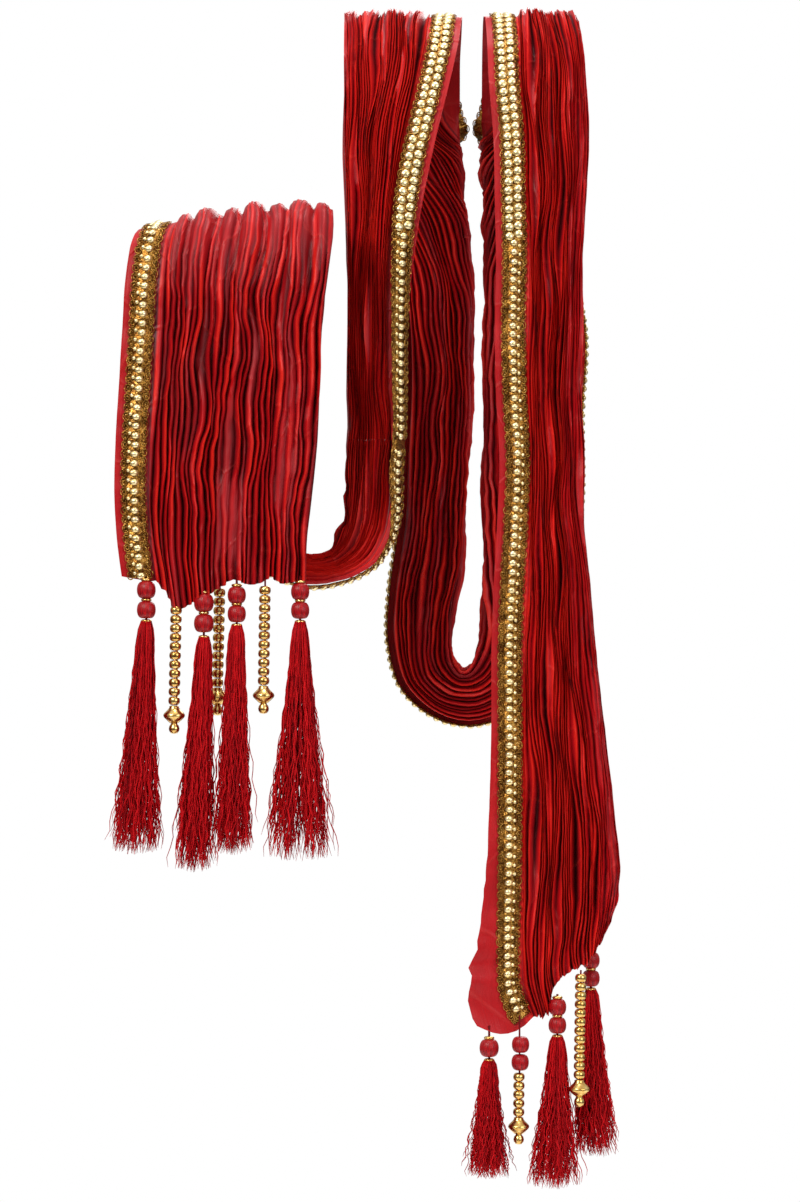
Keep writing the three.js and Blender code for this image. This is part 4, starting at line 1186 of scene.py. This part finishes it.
class LookSettings(bpy.types.PropertyGroup):
    """Colours of the stole."""

    # Valley, shade and ridge paint light onto the organza: painted shade deep in a pleat and on its side,
    # painted highlight on a crease, round the crimson of the face. The silk beads take the same reds for
    # their floss lines.
    valley: bpy.props.StringProperty(name="Valley", description="Red deep in a pleat", default="#46030a")
    shade: bpy.props.StringProperty(name="Shade", description="Red on a pleat's side", default="#8e0610")
    crimson: bpy.props.StringProperty(name="Crimson", description="Red of the face", default="#b00710")
    ridge: bpy.props.StringProperty(name="Ridge", description="Red on a crease", default="#dc2318")
    # The sheer colour is painted see-through shade: a dark grey violet for the shaded inside seen through a
    # single layer.
    see_through_shade: bpy.props.StringProperty(name="Sheer", description="Colour of a single layer", default="#5c2f36")
    # Light gold and dark gold are the gimp's painted highlight on its coils and painted shade in its hollows;
    # on the sequins and beads they differ at random.
    gold: bpy.props.StringProperty(name="Gold", description="Gilt wire", default="#c8923e")
    gold_light: bpy.props.StringProperty(name="Light gold", description="Gilt on a crest", default="#f6d98c")
    gold_pale: bpy.props.StringProperty(name="Pale gold", description="Polished gilt", default="#fff2c8")
    gold_dark: bpy.props.StringProperty(name="Dark gold", description="Gilt in a hollow", default="#5a3210")
    bead_gold: bpy.props.StringProperty(name="Bead gold", description="Gold plate", default="#d6a456")
    thread: bpy.props.StringProperty(name="Thread", description="Tassel thread", default="#b20510")
    thread_dark: bpy.props.StringProperty(name="Dark thread", description="Shaded thread", default="#5e020a")
    thread_light: bpy.props.StringProperty(name="Light thread", description="Lit thread", default="#d8141a")


# ---- Operators ----------------------------------------------------------------------------------------


def tassel_names():
    return sorted(name[: -len("_skirt")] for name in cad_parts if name.endswith("_skirt"))


class STOLE_OT_strip(bpy.types.Operator):
    """Make the pleated strip of organza and the gold trim along its edge"""

    bl_idname = "stole.strip"
    bl_label = "Pleated strip and trim"

    def execute(self, context):
        settings, looks = context.scene.stole_cloth, context.scene.stole_looks
        strip = Strip(settings.pleats, settings.pleat_depth)
        for number in range(len(STRETCHES)):
            cloth = make_cloth(strip, number, settings, looks)
            trim = make_trim(strip, number, looks)
        return {"FINISHED"}


class STOLE_OT_tassels(bpy.types.Operator):
    """Make the tassels with their silk beads and gold rings"""

    bl_idname = "stole.tassels"
    bl_label = "Tassels"

    def execute(self, context):
        settings, looks = context.scene.stole_cloth, context.scene.stole_looks
        for number, tassel in enumerate(tassel_names()):
            make_rings(tassel, looks)
            make_skirt(tassel, number, settings, looks)
        for node in sorted(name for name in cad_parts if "_bead_" in name):
            make_silk_bead(node, looks)
        return {"FINISHED"}


class STOLE_OT_drops(bpy.types.Operator):
    """Make the strings of gold rondelles with their pendants"""

    bl_idname = "stole.drops"
    bl_label = "Bead drops"

    def execute(self, context):
        looks = context.scene.stole_looks
        for drop in DROPS:
            make_rondelles(drop, looks)
            make_pendant(drop, looks)
        return {"FINISHED"}


CAMERA_PLACE = (-0.065, -3.0, -0.523)
CAMERA_LENS = 99.8
SENSOR_HEIGHT = 36.0
FLOOR_RADIUS = 1.4
FLOOR_PLACE = (-0.065, 0, -1.42)


def area_light(name, place, target, size, power, colour):
    data = bpy.data.lights.new(name, "AREA")
    data.shape, data.size, data.energy, data.color = "DISK", size, power, linear(colour)[:3]
    light = bpy.data.objects.new(name, data)
    light.location = place
    light.rotation_euler = (Vector(target) - Vector(place)).to_track_quat("-Z", "Y").to_euler()
    bpy.context.scene.collection.objects.link(light)


class STOLE_OT_stage(bpy.types.Operator):
    """Make the pale floor, the soft studio light and the camera"""

    bl_idname = "stole.stage"
    bl_label = "Stage"

    def execute(self, context):
        scene = context.scene
        bpy.ops.object.select_all(action="DESELECT")
        bpy.ops.mesh.primitive_circle_add(
            vertices=96, radius=FLOOR_RADIUS, fill_type="NGON", location=FLOOR_PLACE
        )
        bpy.ops.object.transform_apply(location=True)
        floor = context.object
        floor.name = "studio_floor"
        material, tree, shader = new_material("matt_white_paper")
        place = add_node(tree, "ShaderNodeTexCoord").outputs["Object"]
        fibre = add_node(tree, "ShaderNodeTexNoise", {"Vector": place, "Scale": 600.0}).outputs["Fac"]
        stops = ((0.0, "#f0f0f0"), (1.0, "#f7f7f7"))
        paper = add_node(tree, "ShaderNodeValToRGB", {"Fac": fibre}, stops=stops).outputs["Color"]
        tree.links.new(paper, shader.inputs["Base Color"])
        set_shader(shader, Roughness=0.9)
        floor.data.materials.append(material)
        target = (-0.06, -0.05, -0.5)
        area_light("key_light", (-1.6, -2.4, 1.1), target, 1.1, 62, "#fffaf4")
        area_light("fill_light", (1.9, -2.2, 0.1), target, 1.6, 26, "#f6f8ff")
        area_light("top_light", (0.1, -0.3, 1.9), target, 1.0, 26, "#ffffff")
        area_light("back_light", (0.6, 2.4, 0.9), target, 1.4, 30, "#ffffff")
        self.make_world(scene)
        data = bpy.data.cameras.new("camera")
        data.sensor_fit, data.sensor_height, data.lens = "VERTICAL", SENSOR_HEIGHT, CAMERA_LENS
        data.sensor_width = SENSOR_HEIGHT
        camera = bpy.data.objects.new("camera", data)
        camera.location = CAMERA_PLACE
        camera.rotation_euler = (math.pi / 2, 0, 0)
        scene.collection.objects.link(camera)
        scene.camera = camera
        scene.view_settings.view_transform = "Standard"
        return {"FINISHED"}

    def make_world(self, scene):
        """White to the camera, and a softer grey room, darker below, to light and reflections."""
        world = bpy.data.worlds.new("studio")
        world.use_nodes = True
        scene.world = world
        tree = world.node_tree
        path = add_node(tree, "ShaderNodeLightPath").outputs["Is Camera Ray"]
        direction = add_node(tree, "ShaderNodeTexCoord").outputs["Generated"]
        height = add_node(tree, "ShaderNodeSeparateXYZ", {"Vector": direction}).outputs["Z"]
        level = add_node(tree, "ShaderNodeMapRange", {"Value": height, "From Min": -1.0, "From Max": 1.0})
        stops = ((0.0, "#3c3a38"), (0.45, "#6a6866"), (0.62, "#b4b4b4"), (1.0, "#f2f2f2"))
        room = add_node(tree, "ShaderNodeValToRGB", {"Fac": level.outputs["Result"]}, stops=stops)
        colour = add_node(tree, "ShaderNodeMix",
                          {"Factor": path, "A": room.outputs["Color"], "B": (1.0, 1.0, 1.0, 1.0)},
                          data_type="RGBA").outputs["Result"]
        tree.links.new(colour, tree.nodes["Background"].inputs["Color"])


class STOLE_PT_panel(bpy.types.Panel):
    """Sizes, colours and steps of the stole"""

    bl_idname = "STOLE_PT_panel"
    bl_label = "Dupatta stole"
    bl_space_type = "VIEW_3D"
    bl_region_type = "UI"
    bl_category = "Stole"

    def draw(self, context):
        layout = self.layout
        for group in (context.scene.stole_cloth, context.scene.stole_looks):
            for key in group.__annotations__:
                layout.prop(group, key)
        for operator in STEPS:
            layout.operator(operator.bl_idname)


STEPS = (STOLE_OT_stage, STOLE_OT_strip, STOLE_OT_tassels, STOLE_OT_drops)
CLASSES = (ClothSettings, LookSettings) + STEPS + (STOLE_PT_panel,)


def register():
    for kind in CLASSES:
        bpy.utils.register_class(kind)
    bpy.types.Scene.stole_cloth = bpy.props.PointerProperty(type=ClothSettings)
    bpy.types.Scene.stole_looks = bpy.props.PointerProperty(type=LookSettings)


def unregister():
    del bpy.types.Scene.stole_looks
    del bpy.types.Scene.stole_cloth
    for kind in reversed(CLASSES):
        bpy.utils.unregister_class(kind)


def main():
    register()
    bpy.ops.stole.stage()
    bpy.ops.stole.strip()
    bpy.ops.stole.tassels()
    bpy.ops.stole.drops()


if __name__ == "__main__":
    main()
